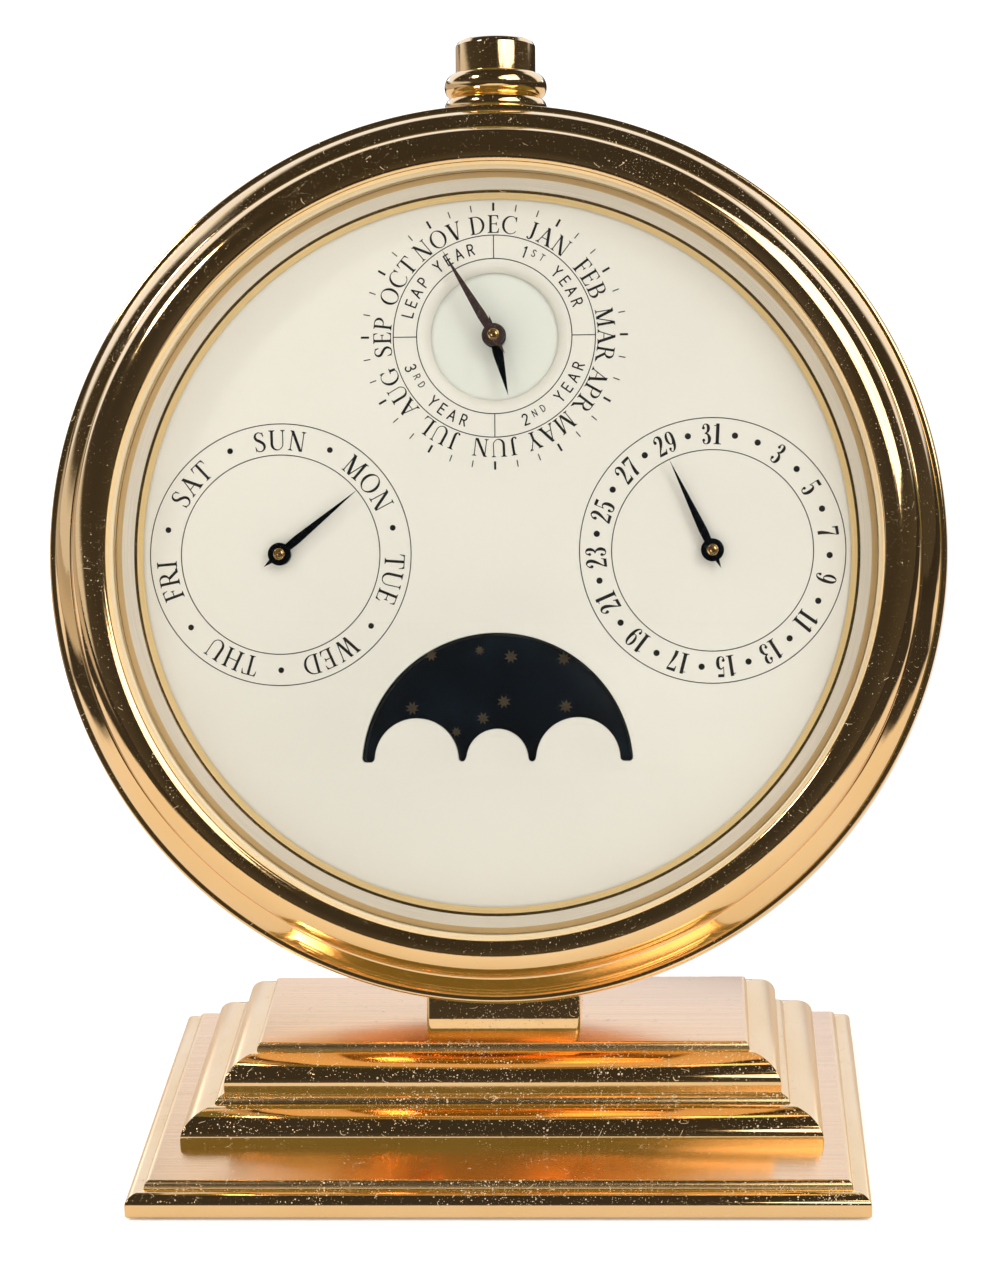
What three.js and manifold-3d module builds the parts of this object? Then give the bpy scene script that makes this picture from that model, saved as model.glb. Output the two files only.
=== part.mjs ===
// Perpetual desk calendar: a round drum case leaning back on a stepped base, with the calendar movement inside.
// Millimetres, +Z up, +X to the viewer's right, -Y towards the viewer. The origin is under the middle of the base.
import * as THREE from "three";
import { mergeVertices } from "three/addons/utils/BufferGeometryUtils.js";
import Module from "manifold-3d";

// ---------------------------------------------------------------- driving sizes
const BASE_W = 100; // slab width
const BASE_D = 64; // slab depth
const FRONT_LEDGE = 7.7; // how much further the upper steps stand back at the front
const SLAB_Z = 4.66; // top of the slab
const STEP1_Z = 10.13; // top of the lower step
const STEP2_Z = 15.71; // top of the upper step

const LEAN_DEG = 17.83; // the case leans back
const CASE_Y = 4.7; // centre of the dial plane
const CASE_Z = 82.7;

const DRUM_R = 62.18;
const DRUM_BORE = 57.0;
const DRUM_BACK = 19.0;
const FLANGE_R = 54.2; // ledge that the main plate stands on
const BEZEL_BORE = 52.4;
const DIAL_OPENING = 48.7;
const DIAL_R = 52.0;
const GAP = 0.3;

const DAY = [-29.7, 0]; // small dials, as x and height on the dial
const DATE = [29.7, 0];
const MONTH = [0, 29.8];
const MOON = [0, -29.7];
const MONTH_OPENING = 8.8;
const MOON_OUTER = 18.67;
const MOON_BUMP_X = 11.1;
const MOON_BUMP_R = 5.77;
const MOON_MID_R = 4.26;
const MOON_TIP = 1.24;

const HAND_LEN = 13.65;
const YEAR_HAND_LEN = 8.5;
const DAY_ANGLE = 51; // clockwise from the top, as the hands stand
const DATE_ANGLE = -25;
const MONTH_ANGLE = -30.8;
const YEAR_ANGLE = 167;

const PUSHER_D = 9.75; // depth of the pusher's axis behind the dial plane
const PUSHER_TOP = 72.6;
const PUSHER_TRAVEL = 3.5;
const CAP_R = 5.6;
const COLLAR_R = 7.15;

const DATE_TEETH = 31;
const DAY_TEETH = 7;
const MOON_TEETH = 59;
const PROGRAM_NOTCHES = 48;
const WHEEL_TEETH = 28; // both 2:1 pairs between the month hand and the leap-year hand
const PINION_TEETH = 14;
const MODULE = 0.5;
const TRANSFER = [-9.0933, 35.05]; // 10.5 mm from the month centre
const LEVER_PIVOT = [22, 40];

// ---------------------------------------------------------------- materials
const METAL = (color, roughness) => ({ color, roughness, metalness: 1 });
const GOLD = METAL(0xd9a066, 0.12);
const GOLD_SATIN = METAL(0xe2b184, 0.35);
const BRASS = METAL(0xc9a24f, 0.3);
const STEEL = METAL(0xb9bcc0, 0.25);
const DARK_STEEL = METAL(0x23262e, 0.25);
const NICKEL = METAL(0xc7c4bb, 0.35);
const IVORY = { color: 0xece6d8, roughness: 0.55, metalness: 0 };
const PALE_GREEN = { color: 0xe6eadb, roughness: 0.5, metalness: 0 };
const NIGHT = { color: 0x0d1420, roughness: 0.15, metalness: 0.2 };
const GLASS = {
  color: 0xf4f8fa,
  roughness: 0.03,
  metalness: 0,
  transparent: true,
  opacity: 0.18,
};
const FELT = { color: 0x2c2a28, roughness: 0.95, metalness: 0 };

// ---------------------------------------------------------------- solids
const wasm = await Module();
wasm.setup();

const rad = (deg) => (deg * Math.PI) / 180;

// A closed three.js surface as a solid, whichever way its profile ran.
function solid(geometry) {
  const flat = geometry.index ? geometry.toNonIndexed() : geometry;
  const bare = new THREE.BufferGeometry().setAttribute(
    "position",
    flat.getAttribute("position").clone(),
  );
  const merged = mergeVertices(bare, 1e-4);
  const idx = merged.index.array;
  const tri = [];
  for (let i = 0; i < idx.length; i += 3) {
    const [a, b, c] = [idx[i], idx[i + 1], idx[i + 2]];
    if (a !== b && b !== c && a !== c) tri.push(a, b, c);
  }
  const vertProperties = new Float32Array(merged.attributes.position.array);
  const build = (t) =>
    new wasm.Manifold(
      new wasm.Mesh({
        numProp: 3,
        vertProperties,
        triVerts: new Uint32Array(t),
      }),
    );
  let made = build(tri);
  if (made.volume() < 0) {
    for (let i = 0; i < tri.length; i += 3)
      [tri[i + 1], tri[i + 2]] = [tri[i + 2], tri[i + 1]];
    made = build(tri);
  }
  return made;
}

// Back to a three.js geometry with flat shading.
function surface(body) {
  const m = body.getMesh();
  const n = m.numProp;
  const v = new Float32Array(m.numVert * 3);
  for (let i = 0; i < m.numVert; i++)
    v.set(m.vertProperties.subarray(i * n, i * n + 3), i * 3);
  const g = new THREE.BufferGeometry()
    .setAttribute("position", new THREE.BufferAttribute(v, 3))
    .setIndex(new THREE.BufferAttribute(new Uint32Array(m.triVerts), 1));
  const out = g.toNonIndexed();
  out.computeVertexNormals();
  return out;
}

// Turned body about the case's depth axis through (cx, cz): the profile holds [radius, depth] pairs.
const turned = (profile, segments, cx = 0, cz = 0) =>
  solid(
    new THREE.LatheGeometry(
      profile.map(([r, d]) => new THREE.Vector2(r, d)),
      segments,
    ).translate(cx, 0, cz),
  );
const ring = (profile, segments, cx = 0, cz = 0) =>
  turned([...profile, profile[0]], segments, cx, cz);
const rod = ([cx, cz], r, d0, d1, segments = 16) =>
  solid(
    new THREE.CylinderGeometry(r, r, d1 - d0, segments).translate(
      cx,
      (d0 + d1) / 2,
      cz,
    ),
  );
// Rod along the height axis.
const upright = (x, y, r, z0, z1, segments = 16) =>
  solid(
    new THREE.CylinderGeometry(r, r, z1 - z0, segments)
      .rotateX(Math.PI / 2)
      .translate(x, y, (z0 + z1) / 2),
  );
const block = (x0, x1, y0, y1, z0, z1) =>
  solid(
    new THREE.BoxGeometry(x1 - x0, y1 - y0, z1 - z0).translate(
      (x0 + x1) / 2,
      (y0 + y1) / 2,
      (z0 + z1) / 2,
    ),
  );
// Flat piece parallel to the dial: the outline holds [x, height] pairs, and each hole is cut right through.
const slice = (outline, d0, d1) =>
  solid(
    new THREE.ExtrudeGeometry(
      new THREE.Shape(outline.map(([x, z]) => new THREE.Vector2(x, z))),
      { depth: d1 - d0, bevelEnabled: false },
    )
      .rotateX(Math.PI / 2)
      .translate(0, d1, 0),
  );
const plate = (outline, d0, d1, holes = []) =>
  holes.reduce(
    (body, h) => body.subtract(slice(h, d0 - 1, d1 + 1)),
    slice(outline, d0, d1),
  );
const circle = ([cx, cz], r, n, a0 = 0) =>
  Array.from({ length: n }, (_, i) => {
    const a = a0 + (2 * Math.PI * i) / n;
    return [cx + r * Math.cos(a), cz + r * Math.sin(a)];
  });
// Bar with round ends between two points.
function bar(a, b, halfA, halfB, d0, d1, n = 8) {
  const t = Math.atan2(b[1] - a[1], b[0] - a[0]);
  const pts = [];
  for (let i = 0; i <= n; i++) {
    const u = t + Math.PI / 2 + (Math.PI * i) / n;
    pts.push([a[0] + halfA * Math.cos(u), a[1] + halfA * Math.sin(u)]);
  }
  for (let i = 0; i <= n; i++) {
    const u = t - Math.PI / 2 + (Math.PI * i) / n;
    pts.push([b[0] + halfB * Math.cos(u), b[1] + halfB * Math.sin(u)]);
  }
  return plate(pts, d0, d1);
}

// Rectangular step of the base: the profile holds [inset, height] pairs, from the bottom up.
function moulded(profile, front) {
  const v = [];
  for (const [o, z] of profile) {
    const x = BASE_W / 2 - o;
    const back = BASE_D / 2 - o;
    const fore = -(BASE_D / 2 - o - front);
    v.push([-x, fore, z], [x, fore, z], [x, back, z], [-x, back, z]);
  }
  const pos = [];
  const quad = (a, b, c, d) =>
    pos.push(...v[a], ...v[b], ...v[c], ...v[a], ...v[c], ...v[d]);
  quad(3, 2, 1, 0);
  for (let k = 0; k + 1 < profile.length; k++)
    for (let i = 0; i < 4; i++) {
      const j = (i + 1) % 4;
      quad(4 * k + i, 4 * k + j, 4 * k + 4 + j, 4 * k + 4 + i);
    }
  const top = 4 * (profile.length - 1);
  quad(top, top + 1, top + 2, top + 3);
  return solid(
    new THREE.BufferGeometry().setAttribute(
      "position",
      new THREE.BufferAttribute(new Float32Array(pos), 3),
    ),
  );
}
// Quarter of a slightly flattened ellipse from a vertical start to a level end.
function ovolo(o0, z0, o1, z1, n, power) {
  const out = [];
  for (let i = 0; i <= n; i++) {
    const t = (Math.PI / 2) * (i / n);
    const c = Math.pow(Math.cos(t), 2 / power);
    const s = Math.pow(Math.sin(t), 2 / power);
    out.push([o1 - (o1 - o0) * c, z0 + (z1 - z0) * s]);
  }
  return out;
}

// Gear or star blank: trapezoid teeth, one of them centred on angle a0.
function gear([cx, cz], teeth, root, tip, rootHalf, tipHalf, a0, d0, d1, bore) {
  const pitch = (2 * Math.PI) / teeth;
  const pts = [];
  for (let i = 0; i < teeth; i++) {
    const a = a0 + i * pitch;
    const at = (r, u) => [cx + r * Math.cos(a + u), cz + r * Math.sin(a + u)];
    pts.push(at(root, -rootHalf * pitch));
    if (tipHalf > 0) pts.push(at(tip, -tipHalf * pitch), at(tip, tipHalf * pitch));
    else pts.push(at(tip, 0));
    pts.push(at(root, rootHalf * pitch));
  }
  return plate(pts, d0, d1, [circle([cx, cz], bore, 16)]);
}
// Star wheel: pointed teeth that meet at the root.
function star([cx, cz], teeth, root, tip, d0, d1, bore) {
  const pts = circle([cx, cz], 1, 2 * teeth, Math.PI / 2).map(([x, z], i) => {
    const r = i % 2 ? root : tip;
    return [cx + (x - cx) * r, cz + (z - cz) * r];
  });
  return plate(pts, d0, d1, [circle([cx, cz], bore, 16)]);
}
// Hand outline: round hub, short pointed tail and a slim leaf blade, turned clockwise from the top.
function hand([cx, cz], length, tail, hub, half, angle, d0, d1, bore) {
  const t = rad(angle);
  const out = [];
  const put = (x, z) =>
    out.push([
      cx + x * Math.cos(t) + z * Math.sin(t),
      cz - x * Math.sin(t) + z * Math.cos(t),
    ]);
  put(0, length);
  put(-0.12, length - 0.4);
  put(-half, length * 0.5);
  put(-0.3, hub * 1.12);
  for (let i = 1; i <= 6; i++) {
    const u = rad(104 + i * 22.6);
    put(hub * Math.cos(u), hub * Math.sin(u));
  }
  put(0, -tail);
  for (let i = 6; i >= 1; i--) {
    const u = rad(104 + i * 22.6);
    put(-hub * Math.cos(u), hub * Math.sin(u));
  }
  put(0.3, hub * 1.12);
  put(half, length * 0.5);
  put(0.12, length - 0.4);
  return plate(out, d0, d1, [circle([cx, cz], bore, 12)]);
}
const union = (...bodies) => bodies.reduce((a, b) => a.add(b));
const less = (a, ...bodies) => bodies.reduce((s, b) => s.subtract(b), a);

// ---------------------------------------------------------------- groups
const root = new THREE.Group();
root.name = "perpetual_desk_calendar";
const stand = new THREE.Group();
stand.name = "stand";
const caseGroup = new THREE.Group();
caseGroup.name = "leaning_case";
caseGroup.position.set(0, CASE_Y, CASE_Z);
caseGroup.rotation.x = -rad(LEAN_DEG);
root.add(stand, caseGroup);

function put(group, name, body, look) {
  const mesh = new THREE.Mesh(
    surface(body),
    new THREE.MeshStandardMaterial(look),
  );
  mesh.name = name;
  group.add(mesh);
}
// A body given in the stand's frame, as the leaning case's frame sees it, and the other way round.
const lean = new THREE.Matrix4().compose(
  new THREE.Vector3(0, CASE_Y, CASE_Z),
  new THREE.Quaternion().setFromEuler(new THREE.Euler(-rad(LEAN_DEG), 0, 0)),
  new THREE.Vector3(1, 1, 1),
);
const moved = (body, matrix) => solid(surface(body).applyMatrix4(matrix));
const toCase = (body) => moved(body, lean.clone().invert());
const toStand = (body) => moved(body, lean);

// ---------------------------------------------------------------- stand
const BASE_SCREW_X = 30;
const BASE_SCREW_Y = 6;
const POST_SCREW_X = 6;
const POST_SCREW_Y = 1.5;
const SCREW_SEAT = 3.0; // level of the screw heads' undersides
const spots = [
  ["base_screw_left", -BASE_SCREW_X, BASE_SCREW_Y, 13.0],
  ["base_screw_right", BASE_SCREW_X, BASE_SCREW_Y, 13.0],
  ["post_screw_left", -POST_SCREW_X, POST_SCREW_Y, 22.0],
  ["post_screw_right", POST_SCREW_X, POST_SCREW_Y, 22.0],
];
const clearance = (top) =>
  spots.map(([, x, y, end]) => upright(x, y, 1.8, 0.5, Math.min(top, end + 0.4), 12));

let slab = moulded(
  [
    [0.35, 0.3],
    [0.0, 0.65],
    ...ovolo(0, 2.0, 1.8, 3.55, 4, 2.1),
    [2.35, 3.58],
    [2.47, 4.2],
    [3.0, SLAB_Z],
  ],
  0,
);
slab = less(
  slab,
  block(-46.3, 46.3, -28.3, 28.3, -1, 1.2),
  ...spots.map(([, x, y]) => upright(x, y, 3.1, 0, SCREW_SEAT, 16)),
  ...clearance(20),
);
put(stand, "base_slab", slab, GOLD_SATIN);
put(stand, "felt_pad", block(-46, 46, -28, 28, 0, 0.9), FELT);

const step1 = less(
  moulded(
    [
      [5.85, SLAB_Z],
      ...ovolo(5.85, 5.65, 10.25, 9.05, 7, 1.95),
      [10.36, 9.35],
      [10.62, 9.72],
      [11.3, 10.0],
      [11.43, STEP1_Z],
    ],
    FRONT_LEDGE,
  ),
  ...clearance(30),
);
put(stand, "lower_step", step1, GOLD);
const step2 = less(
  moulded(
    [
      [11.45, STEP1_Z],
      ...ovolo(11.45, 11.2, 15.7, 14.66, 7, 1.95),
      [15.8, 15.1],
      [16.22, STEP2_Z],
    ],
    FRONT_LEDGE,
  ),
  ...clearance(30),
);
put(stand, "upper_step", step2, GOLD);

const drumOutline = [
  [61.3, 0.15],
  [61.62, 0.5],
  [61.92, 3],
  [DRUM_R, 6],
  [62.15, 10],
  [61.75, 15],
  [61.0, DRUM_BACK],
];
const drumEnvelope = turned(
  [
    [0, -0.6],
    [61.5, -0.6],
    ...drumOutline.map(([r, d]) => [r + GAP, d]),
    [61.3, 30],
    [0, 30],
  ],
  96,
);
const post = less(
  solid(
    new THREE.ExtrudeGeometry(
      new THREE.Shape(
        [
          [-10.8, -3.5],
          [-10.1, -4.2],
          [10.1, -4.2],
          [10.8, -3.5],
          [10.8, 7.3],
          [10.1, 8.0],
          [-10.1, 8.0],
          [-10.8, 7.3],
        ].map(([x, y]) => new THREE.Vector2(x, y)),
      ),
      { depth: 10, bevelEnabled: false },
    ).translate(0, 0, STEP2_Z),
  ),
  toStand(drumEnvelope),
  // the upper part of its front leans back with the case
  solid(
    new THREE.ExtrudeGeometry(
      new THREE.Shape(
        [
          [-6, 17.62],
          [-3.89, 17.62],
          [-1.2, 25.98],
          [-6, 26],
        ].map(([y, z]) => new THREE.Vector2(y, z)),
      ),
      { depth: 24, bevelEnabled: false },
    ).applyMatrix4(new THREE.Matrix4().set(0, 0, 1, -12, 1, 0, 0, 0, 0, 1, 0, 0, 0, 0, 0, 1)),
  ),
  upright(-POST_SCREW_X, POST_SCREW_Y, 1.8, 10, 30, 12),
  upright(POST_SCREW_X, POST_SCREW_Y, 1.8, 10, 30, 12),
);
put(stand, "pedestal_post", post, GOLD);

for (const [name, x, y, end] of spots)
  put(
    stand,
    name,
    less(
      union(
        upright(x, y, 2.7, 1.4, SCREW_SEAT - 0.02, 16),
        upright(x, y, 1.5, 2.5, end, 12),
      ),
      block(x - 3, x + 3, y - 0.35, y + 0.35, 1, 2.0),
    ),
    STEEL,
  );

// ---------------------------------------------------------------- case
const LUG_ANGLES = [45, 135, 225, 315];
const lugCentres = LUG_ANGLES.map((a) => [
  54.4 * Math.cos(rad(a)),
  54.4 * Math.sin(rad(a)),
]);
let drum = ring(
  [
    ...drumOutline,
    [DRUM_BORE, DRUM_BACK],
    [DRUM_BORE, 9.2],
    [FLANGE_R, 9.2],
    [FLANGE_R, 7.4],
    [DRUM_BORE, 7.4],
    [DRUM_BORE, 0.15],
  ],
  64,
);
for (const [x, z] of lugCentres) {
  const a = Math.atan2(z, x);
  const lug = solid(
    new THREE.BoxGeometry(7.5, 3.2, 8)
      .translate(55.2, 16.8, 0)
      .rotateY(-a),
  );
  drum = drum.add(lug);
  drum = drum.subtract(rod([x, z], 1.6, 14, 19, 12));
}
drum = less(
  drum,
  // flat seat for the pusher's collar, hole for its bushing and a notch in the inner ledge
  solid(
    new THREE.CylinderGeometry(7.6, 7.6, 6, 24)
      .rotateX(Math.PI / 2)
      .translate(0, PUSHER_D, 61.2 + 3),
  ),
  upright(0, PUSHER_D, 3.7, 50, 66, 20),
  block(-4.2, 4.2, 7.0, 9.6, 52, 57.2),
  ...[-POST_SCREW_X, POST_SCREW_X].map((x) =>
    toCase(upright(x, POST_SCREW_Y, 1.8, 15, 22.4, 12)),
  ),
);
put(caseGroup, "case_drum", drum, GOLD);

put(
  caseGroup,
  "front_bezel",
  ring(
    [
      [60.75, -0.15],
      [60.6, -0.85],
      [60.0, -1.9],
      [59.0, -2.95],
      [58.1, -3.75],
      [57.85, -4.0],
      [57.4, -5.1],
      [56.6, -6.05],
      [55.5, -6.6],
      [54.35, -6.75],
      [53.5, -6.65],
      [52.85, -6.4],
      [52.7, -3.95],
      [BEZEL_BORE, -3.75],
      [BEZEL_BORE, 2.6],
      [56.6, 2.6],
      [56.6, -0.15],
    ],
    64,
  ),
  GOLD,
);
put(
  caseGroup,
  "crystal",
  turned(
    [
      [0, -3.5],
      [51.9, -3.5],
      [52.1, -3.3],
      [52.1, -1.7],
      [0, -1.7],
    ],
    64,
  ),
  GLASS,
);
put(
  caseGroup,
  "inner_ring",
  ring(
    [
      [52.1, -1.4],
      [51.3, -1.4],
      [49.9, 0.2],
      [49.4, 0.2],
      [DIAL_OPENING, 0.6],
      [DIAL_OPENING, 0.9],
      [52.1, 0.9],
    ],
    64,
  ),
  GOLD,
);

const moonWindow = less(
  rod(MOON, MOON_OUTER, 0.5, 3, 48),
  block(-20, 20, 0, 4, MOON[1] - 20, MOON[1] + MOON_TIP),
  rod([-MOON_BUMP_X, MOON[1]], MOON_BUMP_R, 0.4, 3.1, 24),
  rod([MOON_BUMP_X, MOON[1]], MOON_BUMP_R, 0.4, 3.1, 24),
  rod([0, MOON[1]], MOON_MID_R, 0.4, 3.1, 24),
);
put(
  caseGroup,
  "dial_plate",
  less(
    plate(circle([0, 0], DIAL_R, 64), 1.2, 2.2, [
      circle(DAY, 1.5, 16),
      circle(DATE, 1.5, 16),
      circle(MONTH, MONTH_OPENING, 36),
    ]),
    moonWindow,
  ),
  IVORY,
);
put(
  caseGroup,
  "month_center_disc",
  ring(
    [
      [9.6, 2.5],
      [2.2, 2.5],
      [2.2, 3.1],
      [9.6, 3.1],
    ],
    36,
    ...MONTH,
  ),
  PALE_GREEN,
);

put(
  caseGroup,
  "rear_bezel",
  ring(
    [
      [60.9, 19.3],
      [60.6, 20.2],
      [59.8, 21.0],
      [58.6, 21.4],
      [57.9, 21.4],
      [57.9, 19.3],
    ],
    64,
  ),
  GOLD,
);
put(
  caseGroup,
  "back_cover",
  less(
    turned(
      [
        [0, 19.4],
        [57.5, 19.4],
        [57.5, 20.5],
        [57.0, 20.9],
        [0, 20.9],
      ],
      64,
    ),
    ...lugCentres.map((c) => rod(c, 1.6, 19, 21.2, 12)),
  ),
  GOLD_SATIN,
);
["upper_right", "upper_left", "lower_left", "lower_right"].forEach((side, i) => {
  const [x, z] = lugCentres[i];
  put(
    caseGroup,
    "back_cover_screw_" + side,
    less(
      union(rod([x, z], 1.3, 15.2, 21.6, 12), rod([x, z], 2.4, 21.2, 22.2, 20)),
      block(x - 3, x + 3, 21.75, 22.6, z - 0.3, z + 0.3),
    ),
    STEEL,
  );
});

// ---------------------------------------------------------------- pusher
put(
  caseGroup,
  "pusher_cap",
  less(
    solid(
      new THREE.LatheGeometry(
        [
          [0, 67.0],
          [CAP_R - 0.2, 67.0],
          [CAP_R, 67.2],
          [CAP_R, 71.3],
          [CAP_R - 0.35, 71.9],
          [4.6, 72.2],
          [2.4, 72.5],
          [0, PUSHER_TOP],
        ].map(([r, z]) => new THREE.Vector2(r, z)),
        32,
      )
        .rotateX(Math.PI / 2)
        .translate(0, PUSHER_D, 0),
    ),
    upright(0, PUSHER_D, 1.8, 66, 69.6, 16),
  ),
  GOLD,
);
put(
  caseGroup,
  "pusher_stem",
  union(
    upright(0, PUSHER_D, 1.5, 50.2, 69.3, 16),
    upright(0, PUSHER_D, 1.1, 48.9, 50.4, 16),
  ),
  STEEL,
);
put(
  caseGroup,
  "pusher_collar",
  solid(
    new THREE.LatheGeometry(
      [
        [5.9, 61.5],
        [6.6, 61.5],
        [7.1, 62.0],
        [7.2, 62.7],
        [6.9, 63.5],
        [6.5, 63.9],
        [6.95, 64.5],
        [COLLAR_R, 65.5],
        [7.0, 66.5],
        [6.5, 67.2],
        [6.1, 67.35],
        [5.9, 67.3],
        [5.9, 61.5],
      ].map(([r, z]) => new THREE.Vector2(r, z)),
      36,
    )
      .rotateX(Math.PI / 2)
      .translate(0, PUSHER_D, 0),
  ),
  GOLD,
);
put(
  caseGroup,
  "pusher_bushing",
  less(
    upright(0, PUSHER_D, 3.4, 56.8, 62.2, 20),
    upright(0, PUSHER_D, 1.8, 55, 63, 16),
  ),
  BRASS,
);

// Helical return spring round the stem, between the bushing and the cap.
function helix(r, wire, z0, z1, turns, steps, sides) {
  const pos = [];
  const rings = [];
  for (let i = 0; i <= steps; i++) {
    const t = i / steps;
    const a = 2 * Math.PI * turns * t;
    const z = z0 + (z1 - z0) * t;
    const out = new THREE.Vector3(Math.cos(a), Math.sin(a), 0);
    const along = new THREE.Vector3(
      -r * Math.sin(a),
      r * Math.cos(a),
      (z1 - z0) / (2 * Math.PI * turns),
    ).normalize();
    const side = new THREE.Vector3().crossVectors(along, out);
    const c = out.clone().multiplyScalar(r).setZ(z);
    rings.push(
      Array.from({ length: sides }, (_, k) => {
        const u = (2 * Math.PI * k) / sides;
        return c
          .clone()
          .addScaledVector(out, wire * Math.cos(u))
          .addScaledVector(side, wire * Math.sin(u));
      }),
    );
  }
  const tri = (a, b, c) => pos.push(...a.toArray(), ...b.toArray(), ...c.toArray());
  for (let i = 0; i < steps; i++)
    for (let k = 0; k < sides; k++) {
      const m = (k + 1) % sides;
      tri(rings[i][k], rings[i][m], rings[i + 1][m]);
      tri(rings[i][k], rings[i + 1][m], rings[i + 1][k]);
    }
  for (let k = 1; k + 1 < sides; k++) {
    tri(rings[0][0], rings[0][k + 1], rings[0][k]);
    tri(rings[steps][0], rings[steps][k], rings[steps][k + 1]);
  }
  return new THREE.BufferGeometry().setAttribute(
    "position",
    new THREE.BufferAttribute(new Float32Array(pos), 3),
  );
}
put(
  caseGroup,
  "return_spring",
  solid(helix(3.6, 0.3, 62.85, 66.35, 3.5, 56, 6).translate(0, PUSHER_D, 0)),
  STEEL,
);

// ---------------------------------------------------------------- movement plates
const PILLARS = [
  ["plate_pillar_left", [-44, 16]],
  ["plate_pillar_right", [46, 16]],
  ["plate_pillar_bottom", [30, -34]],
];
const PLATE_D = [5.0, 7.0];
const BRIDGE_D = [15.0, 16.8];
put(
  caseGroup,
  "main_plate",
  plate(circle([0, 0], 56.4, 64), ...PLATE_D, [
    circle(DAY, 1.8, 16),
    circle(DATE, 1.8, 16),
    circle(MONTH, 2.5, 16),
    circle(MOON, 1.8, 16),
    circle(TRANSFER, 1.1, 12),
    circle(LEVER_PIVOT, 1.1, 12),
    ...PILLARS.map(([, c]) => circle(c, 1.4, 12)),
  ]),
  BRASS,
);
put(
  caseGroup,
  "bridge_plate",
  plate(circle([0, 0], 49.8, 60), ...BRIDGE_D, [
    circle(DAY, 1.2, 12),
    circle(DATE, 1.2, 12),
    circle(MONTH, 1.2, 12),
    circle(MOON, 1.2, 12),
    circle(TRANSFER, 1.2, 12),
    circle(LEVER_PIVOT, 1.4, 12),
    ...PILLARS.map(([, c]) => circle(c, 1.4, 12)),
  ]),
  NICKEL,
);
for (const [name, c] of PILLARS)
  put(
    caseGroup,
    name,
    union(
      rod(c, 2.6, 7.3, 14.7, 16),
      rod(c, 1.1, 5.3, 7.5, 12),
      rod(c, 1.1, 14.5, 17.3, 12),
    ),
    BRASS,
  );

// ---------------------------------------------------------------- day, date and moon trains
const STAR_D = [10.0, 11.2];
// Arbor in steps: hand end, dial hole, main plate, wheel seat, rear pivot.
const arbor = (c, front, nose = 0.75) =>
  union(
    rod(c, nose, front, 3.0, 16),
    rod(c, 1.1, 2.6, 5.2, 16),
    rod(c, 1.5, 4.9, 14.6, 16),
    rod(c, 0.9, 14.4, 16.6, 12),
  );
put(
  caseGroup,
  "date_star_wheel",
  star(DATE, DATE_TEETH, 11.6, 12.6, ...STAR_D, 1.8),
  BRASS,
);
put(caseGroup, "date_arbor", arbor(DATE, -0.62), BRASS);
put(
  caseGroup,
  "date_hand",
  hand(DATE, HAND_LEN, 2.75, 1.58, 0.58, DATE_ANGLE, -0.45, -0.05, 1.0),
  DARK_STEEL,
);
put(
  caseGroup,
  "day_star_wheel",
  star(DAY, DAY_TEETH, 5.6, 8.4, ...STAR_D, 1.8),
  BRASS,
);
put(caseGroup, "day_arbor", arbor(DAY, -0.62), BRASS);
put(
  caseGroup,
  "day_hand",
  hand(DAY, HAND_LEN, 2.75, 1.58, 0.58, DAY_ANGLE, -0.45, -0.05, 1.0),
  DARK_STEEL,
);
put(
  caseGroup,
  "moon_star_wheel",
  star(MOON, MOON_TEETH, 14.3, 15.1, ...STAR_D, 1.8),
  BRASS,
);
put(
  caseGroup,
  "moon_arbor",
  union(
    rod(MOON, 0.75, 3.0, 5.2, 16),
    rod(MOON, 1.5, 4.9, 14.6, 16),
    rod(MOON, 0.9, 14.4, 16.6, 12),
  ),
  BRASS,
);
put(
  caseGroup,
  "moon_disc",
  ring(
    [
      [19.3, 2.6],
      [1.05, 2.6],
      [1.05, 3.3],
      [19.3, 3.3],
    ],
    48,
    ...MOON,
  ),
  NIGHT,
);

// ---------------------------------------------------------------- month and leap-year train
const inMesh = Math.atan2(TRANSFER[1] - MONTH[1], TRANSFER[0] - MONTH[0]);
const toothed = (c, teeth, a0, d0, d1, bore) =>
  gear(
    c,
    teeth,
    (teeth * MODULE) / 2 - 1.15 * MODULE,
    (teeth * MODULE) / 2 + 0.75 * MODULE,
    0.27,
    0.1,
    a0,
    d0,
    d1,
    bore,
  );
put(
  caseGroup,
  "month_arbor",
  union(
    rod(MONTH, 0.75, -1.12, 14.0, 16),
    gear(
      MONTH,
      PINION_TEETH,
      (PINION_TEETH * MODULE) / 2 - 1.15 * MODULE,
      (PINION_TEETH * MODULE) / 2 + 0.75 * MODULE,
      0.27,
      0.1,
      inMesh + Math.PI / PINION_TEETH,
      10.0,
      10.8,
      0.6,
    ),
    rod(MONTH, 1.4, 9.95, 14.6, 16),
    rod(MONTH, 0.9, 14.4, 16.6, 12),
  ),
  STEEL,
);
put(caseGroup, "month_star_wheel", star(MONTH, 12, 4.6, 6.2, 11.3, 12.2, 1.7), BRASS);
put(
  caseGroup,
  "month_hand",
  hand(MONTH, HAND_LEN, 2.75, 1.58, 0.58, MONTH_ANGLE, -0.95, -0.55, 1.0),
  DARK_STEEL,
);
put(
  caseGroup,
  "year_pipe",
  less(
    union(rod(MONTH, 1.5, -0.1, 4.9, 20), rod(MONTH, 2.1, 4.7, 9.65, 20)),
    rod(MONTH, 1.05, -1, 10, 16),
  ),
  BRASS,
);
put(
  caseGroup,
  "year_hand",
  hand(MONTH, YEAR_HAND_LEN, 3.4, 2.5, 0.55, YEAR_ANGLE, 0.15, 0.5, 1.75),
  DARK_STEEL,
);
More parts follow.
